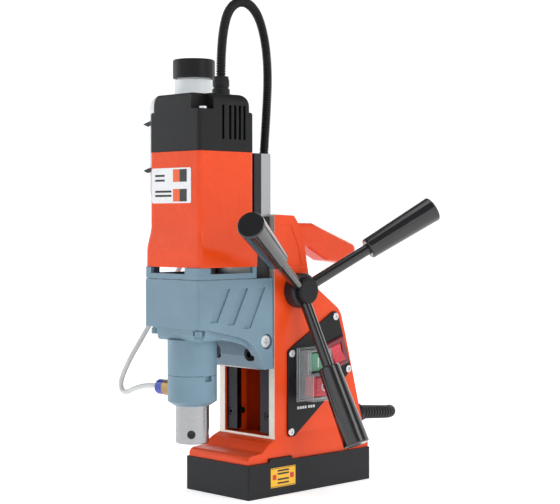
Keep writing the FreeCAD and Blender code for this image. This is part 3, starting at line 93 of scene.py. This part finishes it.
def make_stage():
    """A round floor that curves up into a low wall far away, so that no horizon shows."""
    flat_radius, wall_radius, wall_height, steps, sides = 2.3, 4.6, 2.2, 14, 96
    profile = [(0.0, 0.0), (flat_radius, 0.0)]
    for step in range(1, steps + 1):
        turn = math.pi / 2 * step / steps
        profile.append((flat_radius + (wall_radius - flat_radius) * math.sin(turn),
                        wall_height * (1 - math.cos(turn))))
    mesh = bmesh.new()
    rings = []
    for radius, height in profile[1:]:
        rings.append([mesh.verts.new((radius * math.cos(2 * math.pi * i / sides),
                                      radius * math.sin(2 * math.pi * i / sides), height))
                      for i in range(sides)])
    mesh.faces.new(rings[0])
    for lower, upper in zip(rings, rings[1:]):
        for i in range(sides):
            j = (i + 1) % sides
            mesh.faces.new((lower[i], lower[j], upper[j], upper[i]))
    floor = mesh_object("floor", mesh, smooth=True)
    floor.location.z = -0.0002
    return floor


def make_light(name, at, size, power, tint):
    data = bpy.data.lights.new(name, "AREA")
    data.shape = "RECTANGLE"
    data.size, data.size_y = size
    data.energy = power
    data.color = tint
    light = bpy.data.objects.new(name, data)
    light.location = at
    light.rotation_euler = (OBJECT_MIDDLE - Vector(at)).to_track_quat("-Z", "Y").to_euler()
    light.visible_camera = False
    bpy.context.collection.objects.link(light)


# name, place, size, power in watts and tint of each light panel
LIGHTS = [("key_light", (1.9, 0.15, 1.35), (0.9, 1.4), 11, (1.0, 0.985, 0.96)),
          ("front_light", (0.15, -2.1, 1.0), (1.1, 1.3), 1.0, (0.97, 0.985, 1.0)),
          ("left_light", (-1.9, -0.9, 0.9), (0.5, 1.5), 6, (0.95, 0.98, 1.0)),
          ("top_light", (0.1, 0.1, 2.1), (1.2, 1.2), 6, (1.0, 1.0, 1.0)),
          ("back_light", (-0.7, 2.0, 1.1), (1.0, 1.2), 7, (1.0, 0.99, 0.97))]
WORLD_TINT, WORLD_STRENGTH = (0.95, 0.97, 1.0, 1.0), 0.22
FLOOR_GLOW_TINT, FLOOR_GLOW = (0.98, 0.99, 1.0, 1.0), 0.6


def make_lights():
    for name, at, size, power, tint in LIGHTS:
        make_light(name, at, size, power, tint)
    world = bpy.data.worlds.new("studio")
    world.use_nodes = True
    background = world.node_tree.nodes["Background"]
    background.inputs["Color"].default_value = WORLD_TINT
    background.inputs["Strength"].default_value = WORLD_STRENGTH
    bpy.context.scene.world = world
    bpy.context.scene.view_settings.view_transform = "Standard"


# ---- mesh helpers

def mesh_object(name, mesh, smooth=False):
    """Turn a bmesh into an object, with its faces turned outwards."""
    bmesh.ops.recalc_face_normals(mesh, faces=mesh.faces)
    data = bpy.data.meshes.new(name)
    mesh.to_mesh(data)
    mesh.free()
    if smooth:
        data.shade_smooth()
    made = bpy.data.objects.new(name, data)
    bpy.context.collection.objects.link(made)
    return made


def loft(mesh, sections):
    """Join closed sections, which have as many points each, into a tube with closed ends."""
    rings = [[mesh.verts.new(point) for point in section] for section in sections]
    count = len(rings[0])
    for lower, upper in zip(rings, rings[1:]):
        for i in range(count):
            j = (i + 1) % count
            mesh.faces.new((lower[i], lower[j], upper[j], upper[i]))
    mesh.faces.new(rings[0])
    mesh.faces.new(rings[-1])


def nurbs_curve(name, route, radius=0.0):
    """A smooth curve with the route, in millimetres, as its control points."""
    data = bpy.data.curves.new(name, "CURVE")
    data.dimensions = "3D"
    data.bevel_depth = radius * MM
    data.bevel_resolution = 5
    data.use_fill_caps = True
    spline = data.splines.new("NURBS")
    spline.points.add(len(route) - 1)
    for point, at in zip(spline.points, route):
        point.co = (at[0] * MM, at[1] * MM, at[2] * MM, 1.0)
    spline.order_u = 3
    spline.use_endpoint_u = True
    spline.resolution_u = 8
    made = bpy.data.objects.new(name, data)
    bpy.context.collection.objects.link(made)
    return made


def line_along(route):
    """Points along the route's smooth curve."""
    guide = nurbs_curve("guide", route)
    bpy.context.view_layer.update()
    mesh = bpy.data.meshes.new_from_object(guide.evaluated_get(bpy.context.evaluated_depsgraph_get()))
    points = [vertex.co.copy() for vertex in mesh.vertices]
    bpy.data.objects.remove(guide)
    bpy.data.meshes.remove(mesh)
    return points


def spaced(points, step):
    """Points a step apart along a line, with the heading at each."""
    lengths = [0.0]
    for a, b in zip(points, points[1:]):
        lengths.append(lengths[-1] + (b - a).length)
    count = max(2, round(lengths[-1] / step))
    found = []
    index = 0
    for number in range(count + 1):
        target = lengths[-1] * number / count
        while index < len(points) - 2 and lengths[index + 1] < target:
            index += 1
        share = (target - lengths[index]) / max(1e-9, lengths[index + 1] - lengths[index])
        found.append(points[index].lerp(points[index + 1], share))
    headings = []
    for number in range(count + 1):
        ahead, behind = found[min(count, number + 1)], found[max(0, number - 1)]
        headings.append((ahead - behind).normalized())
    return found, headings


def rings_along(points, headings, radius_at, sides):
    """Round sections that follow a line without twisting."""
    across = headings[0].orthogonal().normalized()
    sections = []
    for number, (point, heading) in enumerate(zip(points, headings)):
        across = (across - heading * across.dot(heading)).normalized()
        other = heading.cross(across)
        radius = radius_at(number)
        sections.append([point + (across * math.cos(2 * math.pi * i / sides)
                                  + other * math.sin(2 * math.pi * i / sides)) * radius
                         for i in range(sides)])
    return sections


def thin_boxes(name, boxes, body, material):
    """Flat printed or moulded marks: closed boxes, in millimetres, in one piece."""
    mesh = bmesh.new()
    for x0, x1, y0, y1, z0, z1 in boxes:
        size = Vector((x1 - x0, y1 - y0, z1 - z0)) * MM
        middle = Vector((x0 + x1, y0 + y1, z0 + z1)) * MM / 2
        bmesh.ops.create_cube(mesh, size=1.0, matrix=Matrix.Translation(middle) @ Matrix.Diagonal((*size, 1.0)))
    made = mesh_object(name, mesh)
    made.data.materials.append(material)
    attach(made, body)
    return made


# ---- shader helpers

class Shading:
    """Adds nodes to one material, with its Principled shader at hand."""

    def __init__(self, name):
        self.material = bpy.data.materials.new(name)
        self.material.use_nodes = True
        self.tree = self.material.node_tree
        self.shader = self.tree.nodes["Principled BSDF"]
        self.place = self.add("ShaderNodeTexCoord").outputs["Object"]

    def add(self, kind, settings=None, **values):
        node = self.tree.nodes.new(kind)
        for key, value in (settings or {}).items():
            setattr(node, key, value)
        for key, value in values.items():
            self.put(node.inputs[int(key[1:])] if key[0] == "i" and key[1:].isdigit() else node.inputs[key], value)
        return node

    def put(self, socket, value):
        """Link an output to a socket, or set the socket's own value."""
        if isinstance(value, bpy.types.NodeSocket):
            self.tree.links.new(value, socket)
        else:
            socket.default_value = value

    def set(self, **values):
        """Set the shader's own sockets; an underscore in a name stands for a space."""
        for key, value in values.items():
            self.put(self.shader.inputs[key.replace("_", " ")], value)

    def math(self, operation, a, b=0.0, clamp=False):
        node = self.add("ShaderNodeMath", {"operation": operation, "use_clamp": clamp}, i0=a, i1=b)
        return node.outputs[0]

    def noise(self, size, detail=3.0, stretch=(1, 1, 1), roughness=0.55):
        """Noise whose features are about size metres, stretched along the axes."""
        place = self.place
        if stretch != (1, 1, 1):
            place = self.add("ShaderNodeMapping", i0=place, i3=tuple(1 / s for s in stretch)).outputs[0]
        node = self.add("ShaderNodeTexNoise", Vector=place, Scale=1 / size, Detail=detail, Roughness=roughness)
        return node.outputs["Fac"]

    def spread(self, value, low, high, to_low=0.0, to_high=1.0):
        """Map a range of a value to another range."""
        node = self.add("ShaderNodeMapRange", i0=value, i1=low, i2=high, i3=to_low, i4=to_high)
        return node.outputs[0]

    def mix(self, factor, a, b):
        node = self.add("ShaderNodeMix", {"data_type": "RGBA"}, i0=factor, i6=a, i7=b)
        return node.outputs[2]

    def axis(self, letter):
        if not hasattr(self, "split"):
            self.split = self.add("ShaderNodeSeparateXYZ", i0=self.place)
        return self.split.outputs[letter]

    def inside(self, letter, low, high, soft=0.0002):
        """1 between two places along an axis, and 0 outside."""
        rising = self.spread(self.axis(letter), low - soft, low + soft)
        falling = self.spread(self.axis(letter), high - soft, high + soft, 1.0, 0.0)
        return self.math("MULTIPLY", rising, falling)

    def rounded(self, radius):
        """The normal with edges rounded, and a mask of those edges."""
        bevel = self.add("ShaderNodeBevel", {"samples": 5}, Radius=radius).outputs[0]
        flat = self.add("ShaderNodeNewGeometry").outputs["Normal"]
        same = self.add("ShaderNodeVectorMath", {"operation": "DOT_PRODUCT"}, i0=bevel, i1=flat)
        return bevel, self.spread(same.outputs["Value"], 0.995, 0.85)

    def bump(self, height, depth, normal=None):
        node = self.add("ShaderNodeBump", Height=height, Distance=depth, Strength=1.0)
        if normal is not None:
            self.put(node.inputs["Normal"], normal)
        return node.outputs[0]


def painted(name, colour, roughness, grain=0.0012, depth=0.00002, vary=0.06, edge=None, edge_share=0.35,
            edge_radius=0.0006, coat=0.0, metallic=0.0, stretch=(1, 1, 1), rough_spread=0.08, specular=0.5):
    """Paint, plastic or metal: broad colour changes, fine grain, uneven gloss and softened, worn edges."""
    s = Shading(name)
    broad = s.noise(0.035, 4.0)
    tone = s.mix(s.spread(broad, 0.3, 0.7), scaled(colour, 1 - vary), scaled(colour, 1 + vary))
    fine = s.noise(grain, 3.0, stretch)
    normal, edges = s.rounded(edge_radius)
    worn = s.math("MULTIPLY", edges, s.spread(s.noise(0.004, 4.0), 0.38, 0.62))
    tone = s.mix(s.math("MULTIPLY", worn, edge_share), tone, edge or scaled(colour, 1.5))
    s.set(Base_Color=tone, Metallic=metallic, Coat_Weight=coat, Coat_Roughness=0.12, Specular_IOR_Level=specular,
          Roughness=s.spread(s.math("ADD", s.math("MULTIPLY", fine, 0.5), s.math("MULTIPLY", broad, 0.5)),
                             0.3, 0.7, roughness - rough_spread, roughness + rough_spread),
          Normal=s.bump(fine, depth, normal))
    return s


# ---- materials

ORANGE = srgb(236, 72, 14)
ZINC = (0.66, 0.67, 0.69, 1)
# where the casting is machined bare, where the head's plate screws are darkened as painted shade, and where its
# blue-grey painted screws are, in metres
STRIP_Y, STRIP_Z = (-0.0466, -0.0454), (0.0535, 0.2725)
PLATE_SCREW_X, PLATE_SCREW_Z = (-0.0312, 0.0312), (0.125, 0.1455)
CHIN_SCREW_Y, CHIN_SCREW_Z = (-0.15, -0.125), (0.152, 0.172)


def orange_paint():
    """Powder coat on the casting, with its front strips machined bare beside the rails."""
    s = painted("orange_powder_coat", ORANGE, 0.34, grain=0.0016, depth=0.00003, vary=0.05,
                edge=srgb(255, 150, 105), edge_share=0.3, edge_radius=0.001, coat=0.08,
                specular=0.3)
    tone = s.shader.inputs["Base Color"].links[0].from_socket
    rough = s.shader.inputs["Roughness"].links[0].from_socket
    facing = s.add("ShaderNodeSeparateXYZ", i0=s.add("ShaderNodeNewGeometry").outputs["Normal"]).outputs["Y"]
    strip = s.math("MULTIPLY", s.inside("Y", *STRIP_Y), s.inside("Z", *STRIP_Z))
    strip = s.math("MULTIPLY", strip, s.math("LESS_THAN", facing, -0.8))
    milled = s.noise(0.0006, 2.0, (8, 1, 1))
    bare = s.mix(milled, srgb(205, 200, 190), srgb(238, 234, 226))
    s.set(Base_Color=s.mix(strip, tone, bare), Metallic=s.math("MULTIPLY", strip, 0.55),
          Roughness=s.add("ShaderNodeMix", i0=strip, i2=rough, i3=0.38).outputs[0])
    return s.material


def steel(name, colour, roughness=0.3, stretch=(1, 1, 30), size=0.0004, depth=0.000006, vary=0.05):
    """Bare metal with fine marks along one way."""
    return painted(name, colour, roughness, grain=size, depth=depth, vary=vary, edge=scaled(colour, 1.3),
                   edge_share=0.6, edge_radius=0.0004, metallic=1.0, stretch=stretch, rough_spread=0.1).material


def clear_plastic(name, colour, alpha, roughness=0.08):
    s = painted(name, colour, roughness, grain=0.004, depth=0.00001, vary=0.03, edge_share=0.6,
                edge=srgb(235, 240, 242), coat=0.5, rough_spread=0.04)
    edges = s.rounded(0.0008)[1]
    s.set(Alpha=s.spread(edges, 0.0, 1.0, alpha, min(1.0, alpha + 0.45)))
    return s.material


def milky_plastic(name, colour, weight, roughness=0.34):
    """Translucent moulded plastic, with light spread inside it."""
    s = painted(name, colour, roughness, grain=0.003, depth=0.00002, vary=0.03, edge_share=0.2,
                edge=(0.95, 0.96, 0.97, 1.0), coat=0.15)
    s.set(Subsurface_Weight=weight, Subsurface_Scale=0.01, Subsurface_Radius=(1.0, 1.0, 1.0))
    return s.material


def laminations():
    """Steel sheets in a stack, across Z."""
    s = painted("steel_laminations", (0.35, 0.35, 0.36, 1), 0.42, metallic=0.9)
    sheets = s.add("ShaderNodeTexWave", {"bands_direction": "Z"}, Vector=s.place, Scale=310.0, Distortion=0.0)
    s.set(Normal=s.bump(sheets.outputs["Fac"], 0.0001))
    return s.material


def pale_floor():
    """A white sweep that glows a little, so that it stays nearly white far from the lights."""
    s = painted("pale_floor", srgb(247, 247, 247), 0.7, grain=0.01, depth=0.00002, vary=0.005, specular=0.2)
    s.set(Emission_Color=FLOOR_GLOW_TINT, Emission_Strength=FLOOR_GLOW)
    return s.material


def head_screws():
    """Zinc screws on the motor and the gearbox's cheeks, near-black ones on its plate as painted shade for their
    recess under the gearbox, and blue-grey painted ones at its chin.
    """
    s = painted("screws_by_place", ZINC, 0.22, grain=0.0004, depth=0.000006, edge_radius=0.0004,
                metallic=1.0)
    tone = s.shader.inputs["Base Color"].links[0].from_socket
    plate_painted_shade = s.math("MULTIPLY", s.inside("X", *PLATE_SCREW_X), s.inside("Z", *PLATE_SCREW_Z))
    at_chin = s.math("MULTIPLY", s.inside("Z", *CHIN_SCREW_Z), s.inside("Y", *CHIN_SCREW_Y))
    # the plate screws are darkened to near black: painted shade for the dark recess they sit in under the gearbox
    tone = s.mix(plate_painted_shade, tone, srgb(52, 52, 55))
    grain = s.noise(0.003, 3.0)
    s.set(Base_Color=s.mix(at_chin, tone, s.mix(grain, srgb(96, 124, 140), srgb(122, 150, 166))),
          Metallic=s.spread(at_chin, 0.0, 1.0, 1.0, 0.1))
    return s.material


def make_materials():
    """One material for each slot in the record, and a few for the pieces made here."""
    return {
        "orange_paint": orange_paint(),
        "orange_plastic": painted("orange_moulding", ORANGE, 0.27, grain=0.0008, depth=0.000012, vary=0.04,
                                  edge=srgb(255, 145, 100), edge_share=0.25, coat=0.08, specular=0.3).material,
        "blue_grey_paint": painted("blue_grey_casting", srgb(112, 141, 158), 0.42, grain=0.0014, depth=0.00006,
                                   vary=0.07, edge=srgb(190, 214, 226), edge_share=0.5, edge_radius=0.0009,
                                   coat=0.1).material,
        "black_paint": painted("black_paint", srgb(38, 38, 40), 0.33, grain=0.001, depth=0.00002,
                               edge=srgb(78, 78, 82), specular=0.3).material,
        "magnet_black": painted("magnet_coating", srgb(26, 27, 30), 0.42, grain=0.0012, depth=0.00004, vary=0.14,
                                edge=srgb(96, 96, 100), edge_share=0.5, edge_radius=0.0008, specular=0.25).material,
        "black_plastic": painted("black_grained_plastic", srgb(20, 20, 22), 0.42, grain=0.0007, depth=0.00004,
                                 edge=srgb(84, 84, 88), edge_share=0.5, specular=0.25).material,
        "gloss_black": painted("gloss_black_plastic", srgb(22, 22, 24), 0.16, grain=0.006, depth=0.00002, vary=0.1,
                               edge=srgb(60, 60, 64), coat=0.6, rough_spread=0.05).material,
        "machined_steel": steel("ground_steel", (0.42, 0.42, 0.43, 1)),
        "polished_steel": steel("turned_steel", (0.40, 0.40, 0.41, 1), 0.26, (60, 60, 1), 0.0005, 0.000004, 0.03),
        "black_steel": steel("oiled_black_steel", srgb(54, 54, 58), 0.32),
        "screw_steel": steel("zinc_plated_steel", ZINC, 0.22, (1, 1, 1)),
        "black_screw": steel("black_oxide_steel", srgb(60, 60, 63), 0.35, (1, 1, 1)),
        "brass": steel("turned_brass", srgb(170, 140, 100), 0.32, (1, 30, 30)),
        "copper": steel("enamelled_copper", srgb(190, 104, 62), 0.3, (1, 1, 1), 0.0009, 0.0001),
        "resin": painted("cast_resin", srgb(92, 70, 56), 0.25, grain=0.01, depth=0.0001, vary=0.15,
                         coat=0.3).material,
        "clear_cover": clear_plastic("clear_guard", srgb(206, 214, 216), 0.3),
        "green_plastic": painted("green_moulding", srgb(84, 150, 116), 0.3, grain=0.002, depth=0.00001, coat=0.2,
                                 edge=srgb(150, 205, 180)).material,
        "red_plastic": painted("red_moulding", srgb(214, 44, 62), 0.28, grain=0.002, depth=0.00001, coat=0.3,
                               edge=srgb(250, 120, 120)).material,
        "bottle_plastic": milky_plastic("bottle_polyethylene", srgb(232, 236, 238), 0.35),
        "hose_plastic": milky_plastic("hose_polyurethane", srgb(205, 208, 206), 0.25, 0.2),
        "blue_plastic": painted("blue_moulding", srgb(32, 60, 172), 0.25, grain=0.002, depth=0.00001, coat=0.3,
                                edge=srgb(120, 140, 240)).material,
        "black_rubber": painted("black_rubber", srgb(27, 27, 28), 0.55, grain=0.0009, depth=0.00004, vary=0.12,
                                edge=srgb(58, 58, 60)).material,
        "yellow_label": painted("yellow_film", srgb(246, 186, 34), 0.3, grain=0.003, depth=0.00001, vary=0.03,
                                edge=srgb(255, 225, 130), edge_radius=0.0002).material,
        "white_label": painted("white_film", srgb(238, 239, 240), 0.3, grain=0.003, depth=0.00001, vary=0.02,
                               edge=srgb(255, 255, 255), edge_radius=0.0002).material,
        "board_green": painted("board_mask", srgb(24, 96, 58), 0.3, grain=0.002, depth=0.00003, coat=0.3).material,
        "laminated_steel": laminations(),
        "dark_red": painted("dark_red_moulding", srgb(120, 22, 34), 0.3, grain=0.002, depth=0.00001, coat=0.3,
                            edge=srgb(190, 70, 80)).material,
        "floor": pale_floor(),
        "print_dark": painted("dark_ink", srgb(32, 32, 34), 0.35, grain=0.002, depth=0.00001, vary=0.08).material,
        "print_light": painted("light_ink", srgb(224, 226, 228), 0.35, grain=0.002, depth=0.00001).material,
        "print_red": painted("red_ink", srgb(206, 52, 36), 0.35, grain=0.002, depth=0.00001, vary=0.08).material,
        "head_screws": head_screws(),
        "print_orange": painted("orange_ink", srgb(240, 96, 36), 0.35, grain=0.002, depth=0.00001).material,
        "strap": painted("woven_strap", srgb(34, 34, 36), 0.7, grain=0.0007, depth=0.0002,
                         stretch=(1, 1, 3)).material,
    }


# nodes that look different from the rest of their slot; the gear plate is made black steel as painted shade, so that
# the vent slots in front of it look dark inside
OWN_LOOK_AND_SHADE = {"rocker_housing": "dark_red", "gear_plate": "black_steel", "head_screws": "head_screws"}


def dress_nodes(materials):
    """Each CAD node takes the material of its slot in the record, unless it has a look of its own or a black material
    standing in for shade.
    """
    slots = {part["node"]: part["material_slot"] for part in frame["record"]["subparts"]}
    for name, node in NODES.items():
        chosen = materials[OWN_LOOK_AND_SHADE.get(name, slots[name])]
        for slot in node.material_slots:
            slot.material = chosen


# ---- flexible lines: their routes are in millimetres, as the CAD model has them

CONDUIT_ROUTE = [(8, -87, 404), (8, -87, 421), (7, -83.5, 448), (6, -76, 469), (5.5, -62, 479.5),
                 (5, -46, 478.5), (4, -32, 466), (3.5, -23, 441), (3, -19.5, 410), (2, -20.5, 376),
                 (1, -22.5, 342), (-2.2, -21.5, 314), (-3.5, -21, 298), (-3.5, -21, 283)]
HOSE_ROUTE = [(-51, -117, 104), (-67, -117, 104), (-84.5, -119.5, 99.5), (-98.5, -121.5, 93), (-105.5, -121.5, 101),
              (-103.5, -118, 114), (-98.5, -111.5, 131), (-93, -102, 149), (-87, -90.5, 172), (-81, -78, 197),
              (-75.5, -65, 223), (-71.8, -54, 247), (-71.2, -52.3, 262), (-71.2, -52.3, 276)]
CORD_ROUTE = [(13.8, 151.58, 60.96), (-0.34, 165.67, 59.73), (-20, 177.5, 57), (-43, 184.5, 51), (-66, 187, 40),
              (-89, 188, 26), (-110, 184, 12), (-128, 172.5, 4.2), (-138.5, 155, 4.2), (-141, 137, 4.2)]
CONDUIT_R, HOSE_R, CORD_R = 4.75, 2.5, 4.0
COIL_X, COIL_Y = -87.0, 129.0
COIL_RADII = (52.0, 43.8, 35.6)
COIL_LAYERS = (4.2, 12.3, 20.4)
COIL_START = 171.6
COIL_STEP_TURN = 40.0
PLUG_TURN = 78.0
PLUG_COIL_RADIUS = 53.3
PLUG_AT = Vector((-83.0, 87.0, 24.05))
PLUG_ALONG = Vector((1, 0.35, 0)).normalized()
PLUG_AXIS_HEIGHT = 9.5
PLUG_REAR, PLUG_FRONT = -24.0, 14.0


def ease(share):
    share = max(0.0, min(1.0, share))
    return share * share * (3 - 2 * share)


def coil_turn(turned):
    """Radius and height of the coil's cord after turning so many degrees.

    It goes in, up, out, up and in again, then climbs to the plug.
    """
    outer, middle, inner = COIL_RADII
    radii = (outer, middle, inner, inner, middle, outer, outer, middle)
    heights = (0, 0, 0, 1, 1, 1, 2, 2)
    last = len(radii) - 1
    number = min(last, int(turned // 360))
    through = turned - 360 * number
    radius, height = radii[number], COIL_LAYERS[heights[number]]
    if number < last:
        radius += (radii[number + 1] - radius) * ease((through - 360 + COIL_STEP_TURN) / COIL_STEP_TURN)
    if number and heights[number] != heights[number - 1]:
        lower = COIL_LAYERS[heights[number - 1]]
        height = lower + (height - lower) * ease(through / COIL_STEP_TURN)
    if number == last and through > 360:
        climbed = (through - 360) / PLUG_TURN
        radius += (PLUG_COIL_RADIUS - middle) * ease(climbed * 1.15)
        height += (PLUG_AT.z + PLUG_AXIS_HEIGHT - height) * ease(climbed * 1.35)
    return radius, height


def coil_route():
    """The cord's turns, from the outer bottom one to the plug on top."""
    points_per_turn, turns, plug_gap = 24, 8, 12
    end = turns * 360 + PLUG_TURN
    count = round(end / 360 * points_per_turn)
    route = []
    for index in range(1, count):
        turned = index * 360 / points_per_turn
        if turned > end - plug_gap:
            break
        radius, height = coil_turn(turned)
        angle = math.radians(COIL_START + turned)
        route.append((COIL_X + radius * math.cos(angle), COIL_Y + radius * math.sin(angle), height))
    tail = PLUG_AT + PLUG_ALONG * PLUG_REAR + Vector((0, 0, PLUG_AXIS_HEIGHT))
    route.append(tuple(tail - PLUG_ALONG * 9))
    route.append(tuple(tail + PLUG_ALONG * 2))
    return route


def make_mains_cord(materials):
    cord = nurbs_curve("mains_lead", CORD_ROUTE + coil_route(), CORD_R)
    cord.data.materials.append(materials["black_rubber"])
    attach(cord, "frame")
    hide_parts("mains_cord", "cord_coil")
    plug = make_plug(materials)
    tie = make_tie(materials)


def rounded_section(half_width, half_height, power, sides):
    """A section between an ellipse and a rectangle."""
    points = []
    for index in range(sides):
        turn = 2 * math.pi * index / sides
        c, s = math.cos(turn), math.sin(turn)
        points.append((half_width * math.copysign(abs(c) ** (2 / power), c),
                       half_height * math.copysign(abs(s) ** (2 / power), s)))
    return points


def make_plug(materials):
    """A moulded mains plug: a ribbed tail that swells into the body."""
    mesh = bmesh.new()
    across = Vector((-PLUG_ALONG.y, PLUG_ALONG.x, 0))
    stations = []
    ribs, rib_pitch = 4, 3.0
    for rib in range(ribs):
        at = PLUG_REAR + rib * rib_pitch
        groove, wide, high = 5.0 + rib * 0.3, 6.2 + rib * 0.4, 6.0 + rib * 0.3
        stations += [(at, groove, groove, 2.0), (at + 0.1, wide, high, 2.0), (at + 1.8, wide, high, 2.0),
                     (at + 1.9, groove + 0.2, groove + 0.2, 2.0)]
    body_start = PLUG_REAR + ribs * rib_pitch
    for share, width, height in ((0, 6.6, 6.4), (0.12, 8.6, 7.6), (0.3, 10.3, 8.8), (0.55, 10.9, 9.3), (0.8, 11, 9.4),
                                 (0.93, 10.8, 9.2), (1.0, 9.8, 8.2)):
        stations.append((body_start + (PLUG_FRONT - body_start) * share, width, height, 3.2))
    sections = []
    for at, width, height, power in stations:
        section = []
        for side, up in rounded_section(width, height, power, 40):
            section.append((PLUG_AT + PLUG_ALONG * at + across * side
                            + Vector((0, 0, PLUG_AXIS_HEIGHT + up))) * MM)
        sections.append(section)
    loft(mesh, sections)
    plug = mesh_object("mains_plug", mesh, smooth=True)
    plug.data.materials.append(materials["black_rubber"])
    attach(plug, "frame")
    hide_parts("plug_body")
    return plug


def make_tie(materials):
    """A woven strap round the coil's section."""
    angle = math.radians(15)
    outward = Vector((math.cos(angle), math.sin(angle), 0))
    along = Vector((-math.sin(angle), math.cos(angle), 0))
    middle = Vector((COIL_X, COIL_Y, 12.4)) + outward * COIL_RADII[1]
    half_strap, thickness, half_wide, half_high = 6.0, 0.9, 13.4, 12.3
    mesh = bmesh.new()
    loop = []
    for side, up in rounded_section(half_wide, half_high, 6.0, 64):
        shrink = 1 - thickness / math.hypot(side, up)
        corners = []
        for scale, offset in ((1, -half_strap), (1, half_strap), (shrink, half_strap), (shrink, -half_strap)):
            corners.append((middle + outward * side * scale + along * offset
                            + Vector((0, 0, up * scale))) * MM)
        loop.append([mesh.verts.new(corner) for corner in corners])
    for here, ahead in zip(loop, loop[1:] + loop[:1]):
        for i in range(4):
            j = (i + 1) % 4
            mesh.faces.new((here[i], here[j], ahead[j], ahead[i]))
    tie = mesh_object("coil_strap", mesh, smooth=False)
    tie.data.materials.append(materials["strap"])
    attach(tie, "frame")
    return tie


def make_conduit(materials):
    """Corrugated conduit from the motor cap to the frame."""
    pitch, steps = 2.5 * MM, 6
    points, headings = spaced(line_along(CONDUIT_ROUTE), pitch / steps)
    outer, groove = CONDUIT_R * MM, 3.75 * MM
    shape = (1.0, 1.0, 0.75, 0.0, 0.0, 0.75)

    def radius_at(number):
        return groove + (outer - groove) * shape[number % steps]

    mesh = bmesh.new()
    loft(mesh, rings_along(points, headings, radius_at, 24))
    conduit = mesh_object("corrugated_conduit", mesh, smooth=True)
    conduit.data.materials.append(materials["black_plastic"])
    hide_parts("conduit")
    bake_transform(conduit)


def make_hose(materials):
    hose = nurbs_curve("coolant_line", HOSE_ROUTE, HOSE_R)
    hose.data.materials.append(materials["hose_plastic"])
    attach(hose, "head")
    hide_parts("coolant_hose")


# ---- printed and moulded marks

def make_marks(materials):
    """Plain marks with no lettering: label bars, switch signs and level ticks on the bottle."""
    low, high = (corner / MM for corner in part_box("motor_label"))
    front = low.y
    print_depth = 0.06
    y0, y1 = front - print_depth, front + 0.02
    wide, tall, margin = high.x - low.x, high.z - low.z, 1.5
    orange_from, black_from, black_to = (low.x + wide * share for share in (0.55, 0.72, 0.90))
    halves = ((low.z + margin, low.z + tall * 0.40), (low.z + tall * 0.60, high.z - margin))
    stripes = [(black_from, black_to, y0, y1, z0, z1) for z0, z1 in halves]
    bars = [(low.x + 5, low.x + 5 + width, y0, y1, low.z + z, low.z + z + 2.0)
            for width, z in ((24, 6.0), (24, 10.0), (14, 20.5), (14, 25.0))]
    thin_boxes("motor_label_dark", stripes + bars, "head", materials["print_dark"])
    stripes = [(orange_from, black_from, y0, y1, z0, z1) for z0, z1 in halves]
    thin_boxes("motor_label_orange", stripes, "head", materials["print_orange"])

    low, high = (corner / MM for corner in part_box("base_label"))
    x0, x1 = high.x - 0.02, high.x + print_depth
    bars = [(x0, x1, low.y + 9, high.y - 9, low.z + z, low.z + z + 1.7) for z in (3.0, 6.6, 12.0, 15.0)]
    rim = [(x0, x1, low.y + 0.6, high.y - 0.6, z, z + 0.5) for z in (low.z + 0.6, high.z - 1.1)]
    thin_boxes("base_label_dark", bars + rim, "frame", materials["print_dark"])
    squares = [(x0, x1, y, y + 5, low.z + 7.5, low.z + 12.5) for y in (low.y + 2.4, high.y - 7.4)]
    thin_boxes("base_label_red", squares, "frame", materials["print_red"])

    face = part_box("control_panel")[1].x / MM
    lines = [(face - 0.02, face + 0.08, y, y + 2.6, 80.6, 83.2) for y in (-16.5, -13.1, -9.7, -6.3, -1.3, 2.1, 5.5)]
    thin_boxes("panel_print", lines, "frame", materials["print_light"])

    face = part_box("green_button")[1].x / MM
    thin_boxes("start_sign", [(face - 0.05, face + 0.12, -0.3, 1.3, 121.5, 131.0)], "start_button",
                       materials["print_light"])
    make_ring_sign(materials)

    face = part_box("coolant_bottle")[0].x / MM
    ticks = [(face - 0.35, face + 0.1, -52 - half, -52 + half, z, z + 1.0)
             for z, half in ((303, 7), (324, 4), (345, 4), (372, 7))]
    thin_boxes("bottle_level_marks", ticks, "head", materials["bottle_plastic"])


def make_ring_sign(materials):
    """A ring on the stop button."""
    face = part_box("red_button")[1].x / MM
    sides, outer, inner, raised = 40, 4.6, 3.2, 0.12
    mesh = bmesh.new()
    loop = []
    for index in range(sides):
        turn = 2 * math.pi * index / sides
        corners = []
        for radius, x in ((outer, face - 0.05), (outer, face + raised), (inner, face + raised), (inner, face - 0.05)):
            corners.append(mesh.verts.new(Vector((x, radius * math.cos(turn), 103.7 + radius * math.sin(turn))) * MM))
        loop.append(corners)
    for here, ahead in zip(loop, loop[1:] + loop[:1]):
        for i in range(4):
            j = (i + 1) % 4
            mesh.faces.new((here[i], here[j], ahead[j], ahead[i]))
    sign = mesh_object("stop_sign_ring", mesh)
    sign.data.materials.append(materials["print_light"])
    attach(sign, "stop_button")


def main():
    make_camera()
    floor = make_stage()
    make_lights()
    materials = make_materials()
    floor.data.materials.append(materials["floor"])
    dress_nodes(materials)
    make_mains_cord(materials)
    make_conduit(materials)
    make_hose(materials)
    make_marks(materials)


main()
